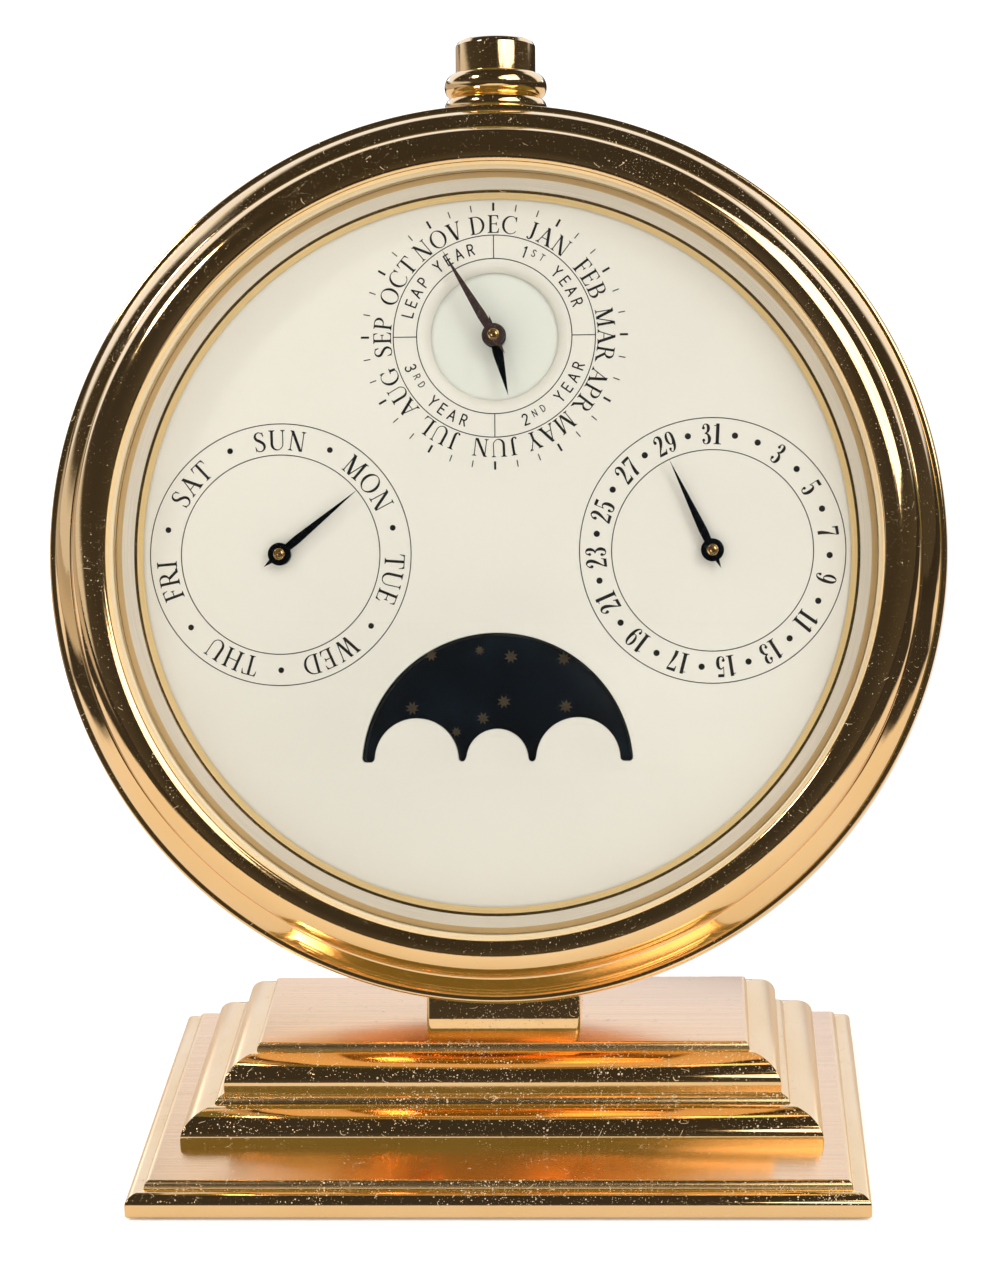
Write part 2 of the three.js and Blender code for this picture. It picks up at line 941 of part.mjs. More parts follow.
// Programme wheel: one notch or step for each month of four years, deeper for the shorter months.
const monthDepth = [0, 3, 0, 1, 0, 1, 0, 0, 1, 0, 1, 0];
const camOutline = [];
for (let i = 0; i < PROGRAM_NOTCHES; i++) {
  const leap = i >= PROGRAM_NOTCHES - 12;
  const d = monthDepth[i % 12] - (leap && i % 12 === 1 ? 1 : 0);
  const a0 = (2 * Math.PI * i) / PROGRAM_NOTCHES;
  const a1 = (2 * Math.PI * (i + 0.98)) / PROGRAM_NOTCHES;
  const r = 9.2 - 0.5 * d;
  for (const a of [a0, a1])
    camOutline.push([MONTH[0] + r * Math.sin(a), MONTH[1] + r * Math.cos(a)]);
}
put(
  caseGroup,
  "program_wheel",
  plate(camOutline, 7.4, 8.4, [circle(MONTH, 2.4, 16)]),
  BRASS,
);
put(
  caseGroup,
  "year_wheel",
  toothed(MONTH, WHEEL_TEETH, inMesh, 8.8, 9.6, 2.4),
  BRASS,
);
put(
  caseGroup,
  "transfer_pinion",
  union(
    toothed(TRANSFER, PINION_TEETH, inMesh + Math.PI + Math.PI / PINION_TEETH, 8.8, 9.6, 0.6),
    rod(TRANSFER, 0.9, 5.4, 16.4, 16),
  ),
  STEEL,
);
put(
  caseGroup,
  "transfer_wheel",
  toothed(TRANSFER, WHEEL_TEETH, inMesh + Math.PI, 10.0, 10.8, 1.2),
  BRASS,
);

// ---------------------------------------------------------------- lever, pawls and jumpers
const LEVER_D = [12.8, 14.0];
const PAWL_D = [10.1, 12.5];
const between = (a, b, r) => {
  const d = Math.hypot(b[0] - a[0], b[1] - a[1]);
  return [a[0] + ((b[0] - a[0]) * r) / d, a[1] + ((b[1] - a[1]) * r) / d];
};
const PUSH_PIN = [0, 46.9];
const dayTip = between(DAY, LEVER_PIVOT, 11.6);
const dateTip = between(DATE, LEVER_PIVOT, 15.6);
const moonTip = between(MOON, LEVER_PIVOT, 18.2);
put(
  caseGroup,
  "grand_lever",
  less(
    union(
      bar(LEVER_PIVOT, PUSH_PIN, 2.6, 1.9, ...LEVER_D),
      bar(LEVER_PIVOT, dayTip, 2.6, 1.6, ...LEVER_D),
      bar(LEVER_PIVOT, dateTip, 2.6, 1.6, ...LEVER_D),
      bar(LEVER_PIVOT, moonTip, 2.6, 1.6, ...LEVER_D),
      rod(LEVER_PIVOT, 4.2, ...LEVER_D, 24),
      rod(PUSH_PIN, 1.5, 8.2, 13.2, 16),
    ),
    rod(LEVER_PIVOT, 1.9, 12, 15, 16),
  ),
  NICKEL,
);
put(
  caseGroup,
  "lever_pivot",
  union(
    rod(LEVER_PIVOT, 0.8, 5.4, 7.5, 12),
    rod(LEVER_PIVOT, 2.6, 7.3, 12.5, 16),
    rod(LEVER_PIVOT, 1.6, 12.3, 14.7, 16),
    rod(LEVER_PIVOT, 1.1, 14.5, 17.2, 12),
  ),
  STEEL,
);
// Pawl under a lever arm, its beak pointing at the wheel and just clear of the teeth.
function pawl(tip, centre, reach) {
  const nose = between(centre, tip, reach);
  const a = Math.atan2(nose[1] - tip[1], nose[0] - tip[0]);
  const side = (s, k) => [
    tip[0] + k * Math.cos(a) - s * Math.sin(a),
    tip[1] + k * Math.sin(a) + s * Math.cos(a),
  ];
  const len = Math.hypot(nose[0] - tip[0], nose[1] - tip[1]);
  return plate(
    [side(1.3, -1.6), side(1.5, 0.4), side(0.25, len), side(-0.25, len), side(-1.5, 0.4), side(-1.3, -1.6)],
    ...PAWL_D,
  );
}
put(caseGroup, "day_pawl", pawl(dayTip, DAY, 8.8), STEEL);
put(caseGroup, "date_pawl", pawl(dateTip, DATE, 13.0), STEEL);
put(caseGroup, "moon_pawl", pawl(moonTip, MOON, 15.5), STEEL);

// Jumper: a foot on the main plate, a thin arm and a beak towards the wheel.
function jumper(centre, tipR, angle, length, way, d0, d1) {
  const a = rad(angle);
  const at = (r, off) => [
    centre[0] + r * Math.cos(a) - off * Math.sin(a),
    centre[1] + r * Math.sin(a) + off * Math.cos(a),
  ];
  const foot = at(tipR + 2.8, way * length);
  const head = at(tipR + 1.6, 0);
  return union(
    rod(foot, 1.8, 7.3, d1, 16),
    bar(foot, head, 0.8, 0.55, d0, d1, 4),
    plate([at(tipR + 0.3, 0), at(tipR + 1.9, 1.1), at(tipR + 1.9, -1.1)], d0, d1),
  );
}
put(caseGroup, "date_jumper", jumper(DATE, 12.6, -20, 14, -1, ...STAR_D), STEEL);
put(caseGroup, "day_jumper", jumper(DAY, 8.4, 200, 14, 1, ...STAR_D), STEEL);
put(caseGroup, "moon_jumper", jumper(MOON, 15.1, 180, 12, 1, ...STAR_D), STEEL);
put(caseGroup, "month_jumper", jumper(MONTH, 6.2, 150, 12, 1, 11.3, 12.2), STEEL);

export default root;
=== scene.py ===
"""Looks of a perpetual desk calendar: a round polished case that leans back on a stepped base, with weekday, date,
month and leap-year dials and a moon window. Lengths in the tables below are millimetres; Blender gets metres."""

import math
import random

import bmesh
import bpy
import numpy as np
from mathutils import Matrix, Vector
from mathutils.geometry import tessellate_polygon


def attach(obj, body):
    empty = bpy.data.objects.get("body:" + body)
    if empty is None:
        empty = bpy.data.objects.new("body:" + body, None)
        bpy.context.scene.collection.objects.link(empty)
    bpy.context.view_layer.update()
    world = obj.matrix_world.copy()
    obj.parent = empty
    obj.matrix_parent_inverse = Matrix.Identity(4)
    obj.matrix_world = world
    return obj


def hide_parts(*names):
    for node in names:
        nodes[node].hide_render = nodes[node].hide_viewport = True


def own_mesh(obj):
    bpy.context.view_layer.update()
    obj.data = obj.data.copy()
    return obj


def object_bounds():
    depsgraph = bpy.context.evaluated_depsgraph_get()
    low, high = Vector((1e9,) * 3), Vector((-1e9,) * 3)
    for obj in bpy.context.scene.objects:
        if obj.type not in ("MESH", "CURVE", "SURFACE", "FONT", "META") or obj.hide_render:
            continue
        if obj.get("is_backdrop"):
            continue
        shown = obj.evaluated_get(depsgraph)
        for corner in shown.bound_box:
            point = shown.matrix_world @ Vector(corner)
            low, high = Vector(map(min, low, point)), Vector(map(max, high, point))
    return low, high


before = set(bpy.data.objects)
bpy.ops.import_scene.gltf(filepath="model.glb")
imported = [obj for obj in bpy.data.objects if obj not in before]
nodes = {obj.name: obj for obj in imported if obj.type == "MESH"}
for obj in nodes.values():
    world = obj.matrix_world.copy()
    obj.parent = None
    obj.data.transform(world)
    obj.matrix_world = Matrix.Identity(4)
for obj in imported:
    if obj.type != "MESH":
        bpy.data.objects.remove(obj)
cad_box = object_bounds()
MM = 0.001

# ---------------------------------------------------------------- places
LEAN = math.radians(17.83)
CL, SL = math.cos(LEAN), math.sin(LEAN)
CASE_Y, CASE_Z = 4.7, 82.7
DAY, DATE, MONTH, MOON = (-29.7, 0.0), (29.7, 0.0), (0.0, 29.8), (0.0, -29.7)
DIAL_D = 1.2


def case_to_world(p):
    """(x, depth, height) in the leaning case frame, mm, to the row frame, m."""
    p = np.asarray(p, float).reshape(-1, 3)
    x, d, z = p[:, 0], p[:, 1], p[:, 2]
    return np.stack([x, CASE_Y + d * CL + z * SL, CASE_Z - d * SL + z * CL], -1) * MM


def plain_to_world(p):
    return np.asarray(p, float).reshape(-1, 3) * MM


# ---------------------------------------------------------------- mesh helpers
def build(name, verts, faces, body, mats, index=None, hides=(), sharp=30.0, place=case_to_world, uv=None):
    """One shown piece from points and faces. Normals are made to point outwards."""
    co = place(verts)
    me = bpy.data.meshes.new(name)
    me.from_pydata([tuple(c) for c in co], [], [list(map(int, f)) for f in faces])
    for m in mats:
        me.materials.append(m)
    if index is not None:
        me.polygons.foreach_set("material_index", [int(i) for i in index])
    bm = bmesh.new()
    bm.from_mesh(me)
    bmesh.ops.recalc_face_normals(bm, faces=bm.faces)
    bm.to_mesh(me)
    bm.free()
    me.polygons.foreach_set("use_smooth", [True] * len(me.polygons))
    me.set_sharp_from_angle(angle=math.radians(sharp))
    if uv is not None:
        layer = me.uv_layers.new(name="brush")
        for loop in me.loops:
            layer.data[loop.index].uv = uv(me.vertices[loop.vertex_index].co)
    ob = bpy.data.objects.new(name, me)
    bpy.context.scene.collection.objects.link(ob)
    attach(ob, body)
    if hides:
        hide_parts(*hides)
    return ob


class Soup:
    """Collects closed bodies into one mesh."""

    def __init__(self):
        self.v, self.f, self.m = [], [], []

    def add(self, verts, faces, mat=0):
        n = len(self.v)
        self.v.extend([tuple(map(float, p)) for p in verts])
        self.f.extend([[i + n for i in f] for f in faces])
        self.m.extend(mat if isinstance(mat, (list, tuple)) else [mat] * len(faces))


def fillet(pts, closed=True, seg=5):
    """A profile whose corners (a, b, radius) are rounded."""
    out = []
    n = len(pts)
    for i, p in enumerate(pts):
        r = p[2] if len(p) > 2 else 0.0
        P = np.array(p[:2], float)
        if r <= 0 or (not closed and i in (0, n - 1)):
            out.append(tuple(P))
            continue
        A, B = np.array(pts[i - 1][:2], float), np.array(pts[(i + 1) % n][:2], float)
        u, v = A - P, B - P
        la, lb = np.linalg.norm(u), np.linalg.norm(v)
        u, v = u / la, v / lb
        ang = math.acos(max(-1.0, min(1.0, float(u @ v))))
        if ang > math.pi - 0.03 or ang < 0.02:
            out.append(tuple(P))
            continue
        t = min(r / math.tan(ang / 2), 0.48 * la, 0.48 * lb)
        rr = t * math.tan(ang / 2)
        b = (u + v) / np.linalg.norm(u + v)
        c = P + b * (rr / math.sin(ang / 2))
        s0, s1 = P + u * t - c, P + v * t - c
        a0, a1 = math.atan2(s0[1], s0[0]), math.atan2(s1[1], s1[0])
        d = (a1 - a0 + math.pi) % (2 * math.pi) - math.pi
        for k in range(seg + 1):
            a = a0 + d * k / seg
            out.append((c[0] + rr * math.cos(a), c[1] + rr * math.sin(a)))
    return out


def arc(cx, cy, rx, ry, a0, a1, n=16):
    return [(cx + rx * math.cos(math.radians(a0 + (a1 - a0) * k / n)), cy + ry * math.sin(math.radians(a0 + (a1 - a0) * k / n))) for k in range(n + 1)]


def smooth_path(pts, per=6):
    """Catmull-Rom through points of any dimension."""
    P = [np.array(p, float) for p in pts]
    P = [2 * P[0] - P[1]] + P + [2 * P[-1] - P[-2]]
    out = []
    for i in range(1, len(P) - 2):
        for k in range(per):
            t = k / per
            a, b, c, d = P[i - 1], P[i], P[i + 1], P[i + 2]
            out.append(tuple(0.5 * ((2 * b) + (c - a) * t + (2 * a - 5 * b + 4 * c - d) * t * t + (3 * b - a - 3 * c + d) * t**3)))
    out.append(tuple(P[-2]))
    return out


def lathe(profile, n=256, centre=(0.0, 0.0), closed=True):
    """A profile of (radius, depth) turned about the axis through centre. Points on the axis become single ones."""
    verts, ring = [], []
    cx, cz = centre
    for r, d in profile:
        if r < 1e-6:
            ring.append([len(verts)])
            verts.append((cx, d, cz))
        else:
            ring.append(list(range(len(verts), len(verts) + n)))
            verts += [(cx + r * math.sin(2 * math.pi * k / n), d, cz + r * math.cos(2 * math.pi * k / n)) for k in range(n)]
    faces, seg = [], []
    m = len(profile)
    for i in range(m if closed else m - 1):
        a, b = ring[i], ring[(i + 1) % m]
        if len(a) == 1 and len(b) == 1:
            continue
        for k in range(n):
            q = (k + 1) % n
            if len(a) == 1:
                faces.append([a[0], b[q], b[k]])
            elif len(b) == 1:
                faces.append([a[k], a[q], b[0]])
            else:
                faces.append([a[k], a[q], b[q], b[k]])
            seg.append(i)
    return verts, faces, seg


def turned(name, profile, body, mat, n=256, centre=(0.0, 0.0), hides=(), sharp=30.0, mats=None, pick=None):
    v, f, seg = lathe(profile, n, centre)
    index = [pick(profile[s], profile[(s + 1) % len(profile)]) for s in seg] if pick else None
    return build(name, v, f, body, mats or [mat], index, hides, sharp)


# ---------------------------------------------------------------- node helpers
class Tree:
    def __init__(self, tree):
        self.t = tree
        tree.nodes.clear()

    def node(self, kind, inputs=None, **props):
        n = self.t.nodes.new(kind)
        for k, v in props.items():
            setattr(n, k, v)
        for k, v in (inputs or {}).items():
            self.put(n.inputs[k], v)
        return n

    def put(self, socket, v):
        if isinstance(v, bpy.types.NodeSocket):
            self.t.links.new(v, socket)
        elif isinstance(v, bpy.types.Node):
            self.t.links.new(v.outputs[0], socket)
        else:
            socket.default_value = v

    def math(self, op, a, b=None, clamp=False):
        n = self.t.nodes.new("ShaderNodeMath")
        n.operation, n.use_clamp = op, clamp
        self.put(n.inputs[0], a)
        if b is not None:
            self.put(n.inputs[1], b)
        return n.outputs[0]

    def step(self, x, lo, hi, out0=0.0, out1=1.0, smooth=True):
        n = self.t.nodes.new("ShaderNodeMapRange")
        n.interpolation_type = "SMOOTHSTEP" if smooth else "LINEAR"
        n.clamp = True
        for k, v in zip(("Value", "From Min", "From Max", "To Min", "To Max"), (x, lo, hi, out0, out1)):
            self.put(n.inputs[k], v)
        return n.outputs[0]

    def mix(self, fac, a, b):
        n = self.t.nodes.new("ShaderNodeMix")
        n.data_type = "RGBA"
        self.put(n.inputs["Factor"], fac)
        self.put(n.inputs[6], a)
        self.put(n.inputs[7], b)
        return n.outputs[2]

    def noise(self, vec, scale, detail=2.0, rough=0.5, distort=0.0, dims="3D"):
        n = self.t.nodes.new("ShaderNodeTexNoise")
        n.noise_dimensions = dims
        if vec is not None:
            self.put(n.inputs["Vector"], vec)
        for k, v in (("Scale", scale), ("Detail", detail), ("Roughness", rough), ("Distortion", distort)):
            self.put(n.inputs[k], v)
        return n

    def mapping(self, vec, loc=(0, 0, 0), rot=(0, 0, 0), scale=(1, 1, 1)):
        n = self.t.nodes.new("ShaderNodeMapping")
        self.put(n.inputs["Vector"], vec)
        n.inputs["Location"].default_value = loc
        n.inputs["Rotation"].default_value = rot
        n.inputs["Scale"].default_value = scale
        return n.outputs[0]

    def vec(self, op, a, b=None):
        n = self.t.nodes.new("ShaderNodeVectorMath")
        n.operation = op
        self.put(n.inputs[0], a)
        if b is not None:
            self.put(n.inputs[1], b)
        return n.outputs["Value"] if op in ("DOT_PRODUCT", "LENGTH") else n.outputs[0]


def new_material(name):
    m = bpy.data.materials.new(name)
    m.use_nodes = True
    return m, Tree(m.node_tree)


def object_mm(t):
    """Coordinates fixed to the piece, in millimetres."""
    c = t.node("ShaderNodeTexCoord")
    return t.mapping(c.outputs["Object"], scale=(1000, 1000, 1000))


def case_mm(t):
    """Coordinates in the leaning case frame, in millimetres: x, depth, height."""
    c = t.node("ShaderNodeTexCoord")
    moved = t.mapping(c.outputs["Object"], loc=(0, -CASE_Y, -CASE_Z), scale=(1000, 1000, 1000))
    return t.mapping(moved, rot=(LEAN, 0, 0))


def bump(t, height, strength, distance, normal=None):
    b = t.node("ShaderNodeBump", {"Strength": strength, "Distance": distance, "Height": height})
    if normal is not None:
        t.put(b.inputs["Normal"], normal)
    return b.outputs[0]


def finish(t, shader, **settings):
    p = t.node("ShaderNodeBsdfPrincipled", settings)
    t.node("ShaderNodeOutputMaterial", {"Surface": p.outputs[0]})
    return p


def dust(t, mm, amount, fibres=0.5, size=6.0):
    """0 to 1 where a speck of dust or a fibre lies, more of it on faces that look up."""
    g = t.node("ShaderNodeNewGeometry")
    up = t.step(t.vec("DOT_PRODUCT", g.outputs["Normal"], (0.0, 0.0, 1.0)), -0.5, 0.9, 0.35, 1.0)
    patch = t.step(t.noise(mm, 0.12, 3.0, 0.6).outputs["Fac"], 0.35, 0.7, 0.35, 1.0)
    here = t.math("MULTIPLY", up, patch)
    # round specks, one in each cell, of a size of its own
    specks = None
    for scale, most in ((0.36 * size, 0.26), (0.75 * size, 0.26)):
        v = t.node("ShaderNodeTexVoronoi", {"Vector": mm, "Scale": scale})
        lot = t.node("ShaderNodeSeparateXYZ", {"Vector": v.outputs["Color"]})
        reach = t.math("MULTIPLY", t.math("MULTIPLY", lot.outputs[0], lot.outputs[0]), t.math("MULTIPLY", here, most * 6.0 * amount))
        one = t.math("MULTIPLY", t.step(v.outputs["Distance"], reach, t.math("ADD", reach, 0.06), 1.0, 0.0), t.step(reach, 0.03, 0.08))
        specks = one if specks is None else t.math("MAXIMUM", specks, one)
    if not fibres:
        return specks
    # short bent fibres: a curved sheet through a cell, cut by the surface
    hair = None
    for scale, offset in ((0.50, 0.0), (0.72, 31.0)):
        moved = t.vec("ADD", mm, (offset, offset, offset))
        v = t.node("ShaderNodeTexVoronoi", {"Vector": moved, "Scale": scale})
        away = t.vec("SUBTRACT", moved, v.outputs["Position"])
        lot = t.node("ShaderNodeSeparateXYZ", {"Vector": v.outputs["Color"]})
        facing = t.node("ShaderNodeCombineXYZ", {k: t.math("SUBTRACT", lot.outputs[n], 0.5) for n, k in enumerate("XYZ")})
        along = t.node("ShaderNodeCombineXYZ", {"X": t.math("SUBTRACT", lot.outputs[1], 0.5), "Y": t.math("SUBTRACT", lot.outputs[2], 0.5), "Z": t.math("SUBTRACT", lot.outputs[0], 0.5)})
        across = t.vec("DOT_PRODUCT", away, t.vec("NORMALIZE", facing.outputs[0]))
        run = t.vec("DOT_PRODUCT", away, t.vec("NORMALIZE", along.outputs[0]))
        bent = t.math("ABSOLUTE", t.math("SUBTRACT", across, t.math("MULTIPLY", t.math("SUBTRACT", t.math("MULTIPLY", run, run), 0.12), 0.9)))
        near = t.step(t.vec("LENGTH", away), 0.50, 0.58, 1.0, 0.0)
        one = t.math("MULTIPLY", t.step(bent, 0.014, 0.034, 1.0, 0.0), near)
        one = t.math("MULTIPLY", one, t.step(lot.outputs[2], 1.0 - fibres, 1.05 - fibres))
        hair = one if hair is None else t.math("MAXIMUM", hair, one)
    hair = t.math("MULTIPLY", hair, t.step(here, 0.25, 0.6))
    return t.math("MAXIMUM", specks, t.math("MULTIPLY", hair, 0.75))


# ---------------------------------------------------------------- materials
GOLD = (0.93, 0.625, 0.31, 1)
GOLD_DEEP = (0.90, 0.58, 0.26, 1)
DUST = (0.60, 0.47, 0.31, 1)


def make_gold(name, rough=0.045, dusty=0.10, orange=0.02, fibres=0.5, turned_lines=False, size=6.0):
    m, t = new_material(name)
    mm = object_mm(t)
    d = dust(t, mm, dusty, fibres, size)
    tone = t.noise(mm, 0.05, 2.0).outputs["Fac"]
    base = t.mix(t.step(tone, 0.3, 0.7), GOLD, GOLD_DEEP)
    haze = t.noise(mm, 0.35, 4.0, 0.65).outputs["Fac"]
    r = t.math("ADD", rough, t.math("MULTIPLY", t.step(haze, 0.45, 0.8), 0.05))
    peel = t.noise(mm, 0.9, 2.0, 0.5).outputs["Fac"]
    grit = t.noise(mm, 8.0, 2.0, 0.6).outputs["Fac"]
    height = t.math("ADD", t.math("MULTIPLY", peel, 0.5), t.math("MULTIPLY", grit, 0.05))
    if turned_lines:
        cm = case_mm(t)
        s = t.node("ShaderNodeSeparateXYZ", {"Vector": cm})
        rad = t.math("SQRT", t.math("ADD", t.math("MULTIPLY", s.outputs[0], s.outputs[0]), t.math("MULTIPLY", s.outputs[2], s.outputs[2])))
        pair = t.node("ShaderNodeCombineXYZ", {"X": rad, "Y": s.outputs[1], "Z": 0.0})
        lines = t.noise(pair, 5.0, 2.0, 0.6).outputs["Fac"]
        height = t.math("ADD", height, t.math("MULTIPLY", lines, 0.10))
        r = t.math("ADD", r, t.math("MULTIPLY", t.step(lines, 0.5, 0.75), 0.03))
    nrm = bump(t, height, orange, 0.0004)
    nrm = bump(t, d, 0.25, 0.00003, nrm)
    finish(
        t,
        None,
        **{
            "Base Color": t.mix(d, base, DUST),
            "Metallic": t.math("SUBTRACT", 1.0, d),
            "Roughness": t.math("ADD", r, t.math("MULTIPLY", d, 0.6)),
            "Normal": nrm,
        },
    )
    return m


def make_brushed(name, along="X", base=(0.93, 0.575, 0.285, 1), rough=0.19, dusty=0.10, aniso=0.85, circular=False):
    """Fine straight or circular brushing, seen as lines and as a reflection drawn out across them."""
    m, t = new_material(name)
    mm = object_mm(t)
    if circular:
        s = t.node("ShaderNodeSeparateXYZ", {"Vector": case_mm(t)})
        rad = t.math("SQRT", t.math("ADD", t.math("MULTIPLY", s.outputs[0], s.outputs[0]), t.math("MULTIPLY", s.outputs[2], s.outputs[2])))
        ang = t.math("ARCTAN2", s.outputs[0], s.outputs[2])
        grain = t.node("ShaderNodeCombineXYZ", {"X": t.math("MULTIPLY", rad, 12.0), "Y": t.math("MULTIPLY", ang, 1.5), "Z": 0.0}).outputs[0]
    else:
        grain = t.mapping(mm, scale=(0.03, 13.0, 13.0))
    fine = t.noise(grain, 1.0, 3.0, 0.6).outputs["Fac"]
    wide = t.noise(t.mapping(grain, scale=(0.8, 0.22, 0.22)), 1.0, 3.0, 0.6).outputs["Fac"]
    d = dust(t, mm, dusty, 0.22, 5.0)
    nicks = t.step(t.noise(t.mapping(mm, scale=(0.7, 2.6, 2.6)), 1.0, 4.0, 0.7).outputs["Fac"], 0.70, 0.74)
    dark = t.math("MULTIPLY", nicks, t.step(t.noise(mm, 0.15, 2.0).outputs["Fac"], 0.45, 0.65))
    tone = t.mix(t.step(wide, 0.3, 0.7), base, (base[0] * 0.93, base[1] * 0.92, base[2] * 0.93, 1))
    tone = t.mix(t.math("MULTIPLY", dark, 0.6), tone, (0.35, 0.22, 0.12, 1))
    r = t.math("ADD", rough, t.math("MULTIPLY", t.math("SUBTRACT", fine, 0.5), 0.22))
    height = t.math("ADD", t.math("MULTIPLY", fine, 0.6), t.math("MULTIPLY", wide, 0.5))
    nrm = bump(t, height, 0.10, 0.00012)
    settings = {
        "Base Color": t.mix(d, tone, DUST),
        "Metallic": t.math("SUBTRACT", 1.0, d),
        "Roughness": r,
        "Normal": nrm,
    }
    if aniso:
        settings["Anisotropic"] = aniso
        settings["Tangent"] = t.node("ShaderNodeTangent", direction_type="UV_MAP", uv_map="brush").outputs[0]
    finish(t, None, **settings)
    return m


def make_satin(name, base, metallic=0.45, rough=0.42):
    """Turned metal with a fine matt finish."""
    m, t = new_material(name)
    mm = object_mm(t)
    s = t.node("ShaderNodeSeparateXYZ", {"Vector": case_mm(t)})
    rad = t.math("SQRT", t.math("ADD", t.math("MULTIPLY", s.outputs[0], s.outputs[0]), t.math("MULTIPLY", s.outputs[2], s.outputs[2])))
    ang = t.math("ARCTAN2", s.outputs[0], s.outputs[2])
    grain = t.node("ShaderNodeCombineXYZ", {"X": t.math("MULTIPLY", rad, 9.0), "Y": t.math("MULTIPLY", ang, 3.0), "Z": 0.0}).outputs[0]
    fine = t.noise(grain, 1.0, 3.0, 0.6).outputs["Fac"]
    d = dust(t, mm, 0.12, False, 6.0)
    tone = t.mix(t.step(fine, 0.3, 0.7), base, tuple(c * 0.88 for c in base[:3]) + (1,))
    finish(
        t,
        None,
        **{
            "Base Color": t.mix(t.math("MULTIPLY", d, 0.5), tone, DUST),
            "Metallic": metallic,
            "Roughness": t.math("ADD", rough, t.math("MULTIPLY", t.math("SUBTRACT", fine, 0.5), 0.2)),
            "Normal": bump(t, fine, 0.08, 0.00008),
        },
    )
    return m


def make_metal(name, base, rough=0.22, grain=0.12, lines=(2.0, 2.0, 2.0), spread=0.12):
    m, t = new_material(name)
    mm = object_mm(t)
    n = t.noise(t.mapping(mm, scale=lines), 2.0, 3.0, 0.6).outputs["Fac"]
    tone = t.mix(t.step(n, 0.3, 0.7), base, tuple(c * 0.86 for c in base[:3]) + (1,))
    r = t.math("ADD", rough, t.math("MULTIPLY", t.math("SUBTRACT", n, 0.5), spread))
    finish(t, None, **{"Base Color": tone, "Metallic": 1.0, "Roughness": r, "Normal": bump(t, n, grain, 0.0002)})
    return m


def make_perlage(name, base):
    """Plate finished with overlapping round spots."""
    m, t = new_material(name)
    cm = t.mapping(case_mm(t), scale=(0.5, 0.5, 0.5))
    v = t.node("ShaderNodeTexVoronoi", {"Vector": cm, "Scale": 0.8, "Randomness": 0.15})
    rings = t.noise(t.vec("MULTIPLY", v.outputs["Distance"], (14.0, 14.0, 14.0)), 1.0, 1.0).outputs["Fac"]
    tone = t.mix(t.step(v.outputs["Distance"], 0.1, 0.6), base, tuple(c * 0.8 for c in base[:3]) + (1,))
    r = t.math("ADD", 0.2, t.math("MULTIPLY", rings, 0.15))
    finish(t, None, **{"Base Color": tone, "Metallic": 1.0, "Roughness": r, "Normal": bump(t, rings, 0.2, 0.0002)})
    return m


def make_dial(name, base, rough=0.42):
    m, t = new_material(name)
    mm = object_mm(t)
    soft = t.noise(mm, 0.06, 2.0).outputs["Fac"]
    fine = t.noise(mm, 7.0, 3.0, 0.6).outputs["Fac"]
    spot = t.step(t.noise(mm, 0.75, 2.0, 0.6).outputs["Fac"], 0.76, 0.80)
    tone = t.mix(t.step(soft, 0.3, 0.7), base, tuple(c * 0.985 for c in base[:3]) + (1,))
    tone = t.mix(t.math("MULTIPLY", spot, 0.25), tone, (base[0] * 0.86, base[1] * 0.83, base[2] * 0.78, 1))
    finish(
        t,
        None,
        **{
            "Base Color": tone,
            "Roughness": t.math("ADD", rough, t.math("MULTIPLY", fine, 0.08)),
            "Specular IOR Level": 0.35,
            "Normal": bump(t, fine, 0.06, 0.00004),
            "Coat Weight": 0.15,
            "Coat Roughness": 0.12,
        },
    )
    return m


def make_ink(name, base):
    m, t = new_material(name)
    mm = object_mm(t)
    n = t.noise(mm, 9.0, 2.0, 0.6).outputs["Fac"]
    tone = t.mix(t.step(n, 0.35, 0.7), base, tuple(c * 1.6 + 0.004 for c in base[:3]) + (1,))
    finish(t, None, **{"Base Color": tone, "Roughness": t.step(n, 0.0, 1.0, 0.38, 0.55), "Specular IOR Level": 0.3})
    return m


def make_hand(name, base, flake, metallic=1.0):
    """Heat-coloured steel, polished flat."""
    m, t = new_material(name)
    mm = object_mm(t)
    n = t.noise(mm, 1.4, 3.0, 0.6).outputs["Fac"]
    chips = t.step(t.noise(mm, 5.0, 3.0, 0.7).outputs["Fac"], 0.73, 0.76)
    tone = t.mix(t.step(n, 0.3, 0.7), base, flake)
    tone = t.mix(chips, tone, (0.75, 0.72, 0.68, 1))
    r = t.math("ADD", 0.2, t.math("MULTIPLY", n, 0.12))
    finish(t, None, **{"Base Color": tone, "Metallic": metallic, "Roughness": r, "Normal": bump(t, n, 0.08, 0.0002)})
    return m


def make_night(name):
    m, t = new_material(name)
    mm = object_mm(t)
    cloud = t.noise(mm, 0.12, 3.0, 0.6).outputs["Fac"]
    tone = t.mix(t.step(cloud, 0.4, 0.75), (0.0016, 0.0042, 0.0085, 1), (0.0035, 0.011, 0.020, 1))
    specks = t.step(t.noise(mm, 2.6, 2.0, 0.6).outputs["Fac"], 0.775, 0.80)
    tone = t.mix(t.math("MULTIPLY", specks, 0.5), tone, (0.22, 0.21, 0.17, 1))
    finish(
        t,
        None,
        **{
            "Base Color": tone,
            "Roughness": 0.16,
            "Specular IOR Level": 0.4,
            "Coat Weight": 0.6,
            "Coat Roughness": 0.05,
            "Normal": bump(t, t.noise(mm, 0.5, 2.0).outputs["Fac"], 0.03, 0.0004),
        },
    )
    return m


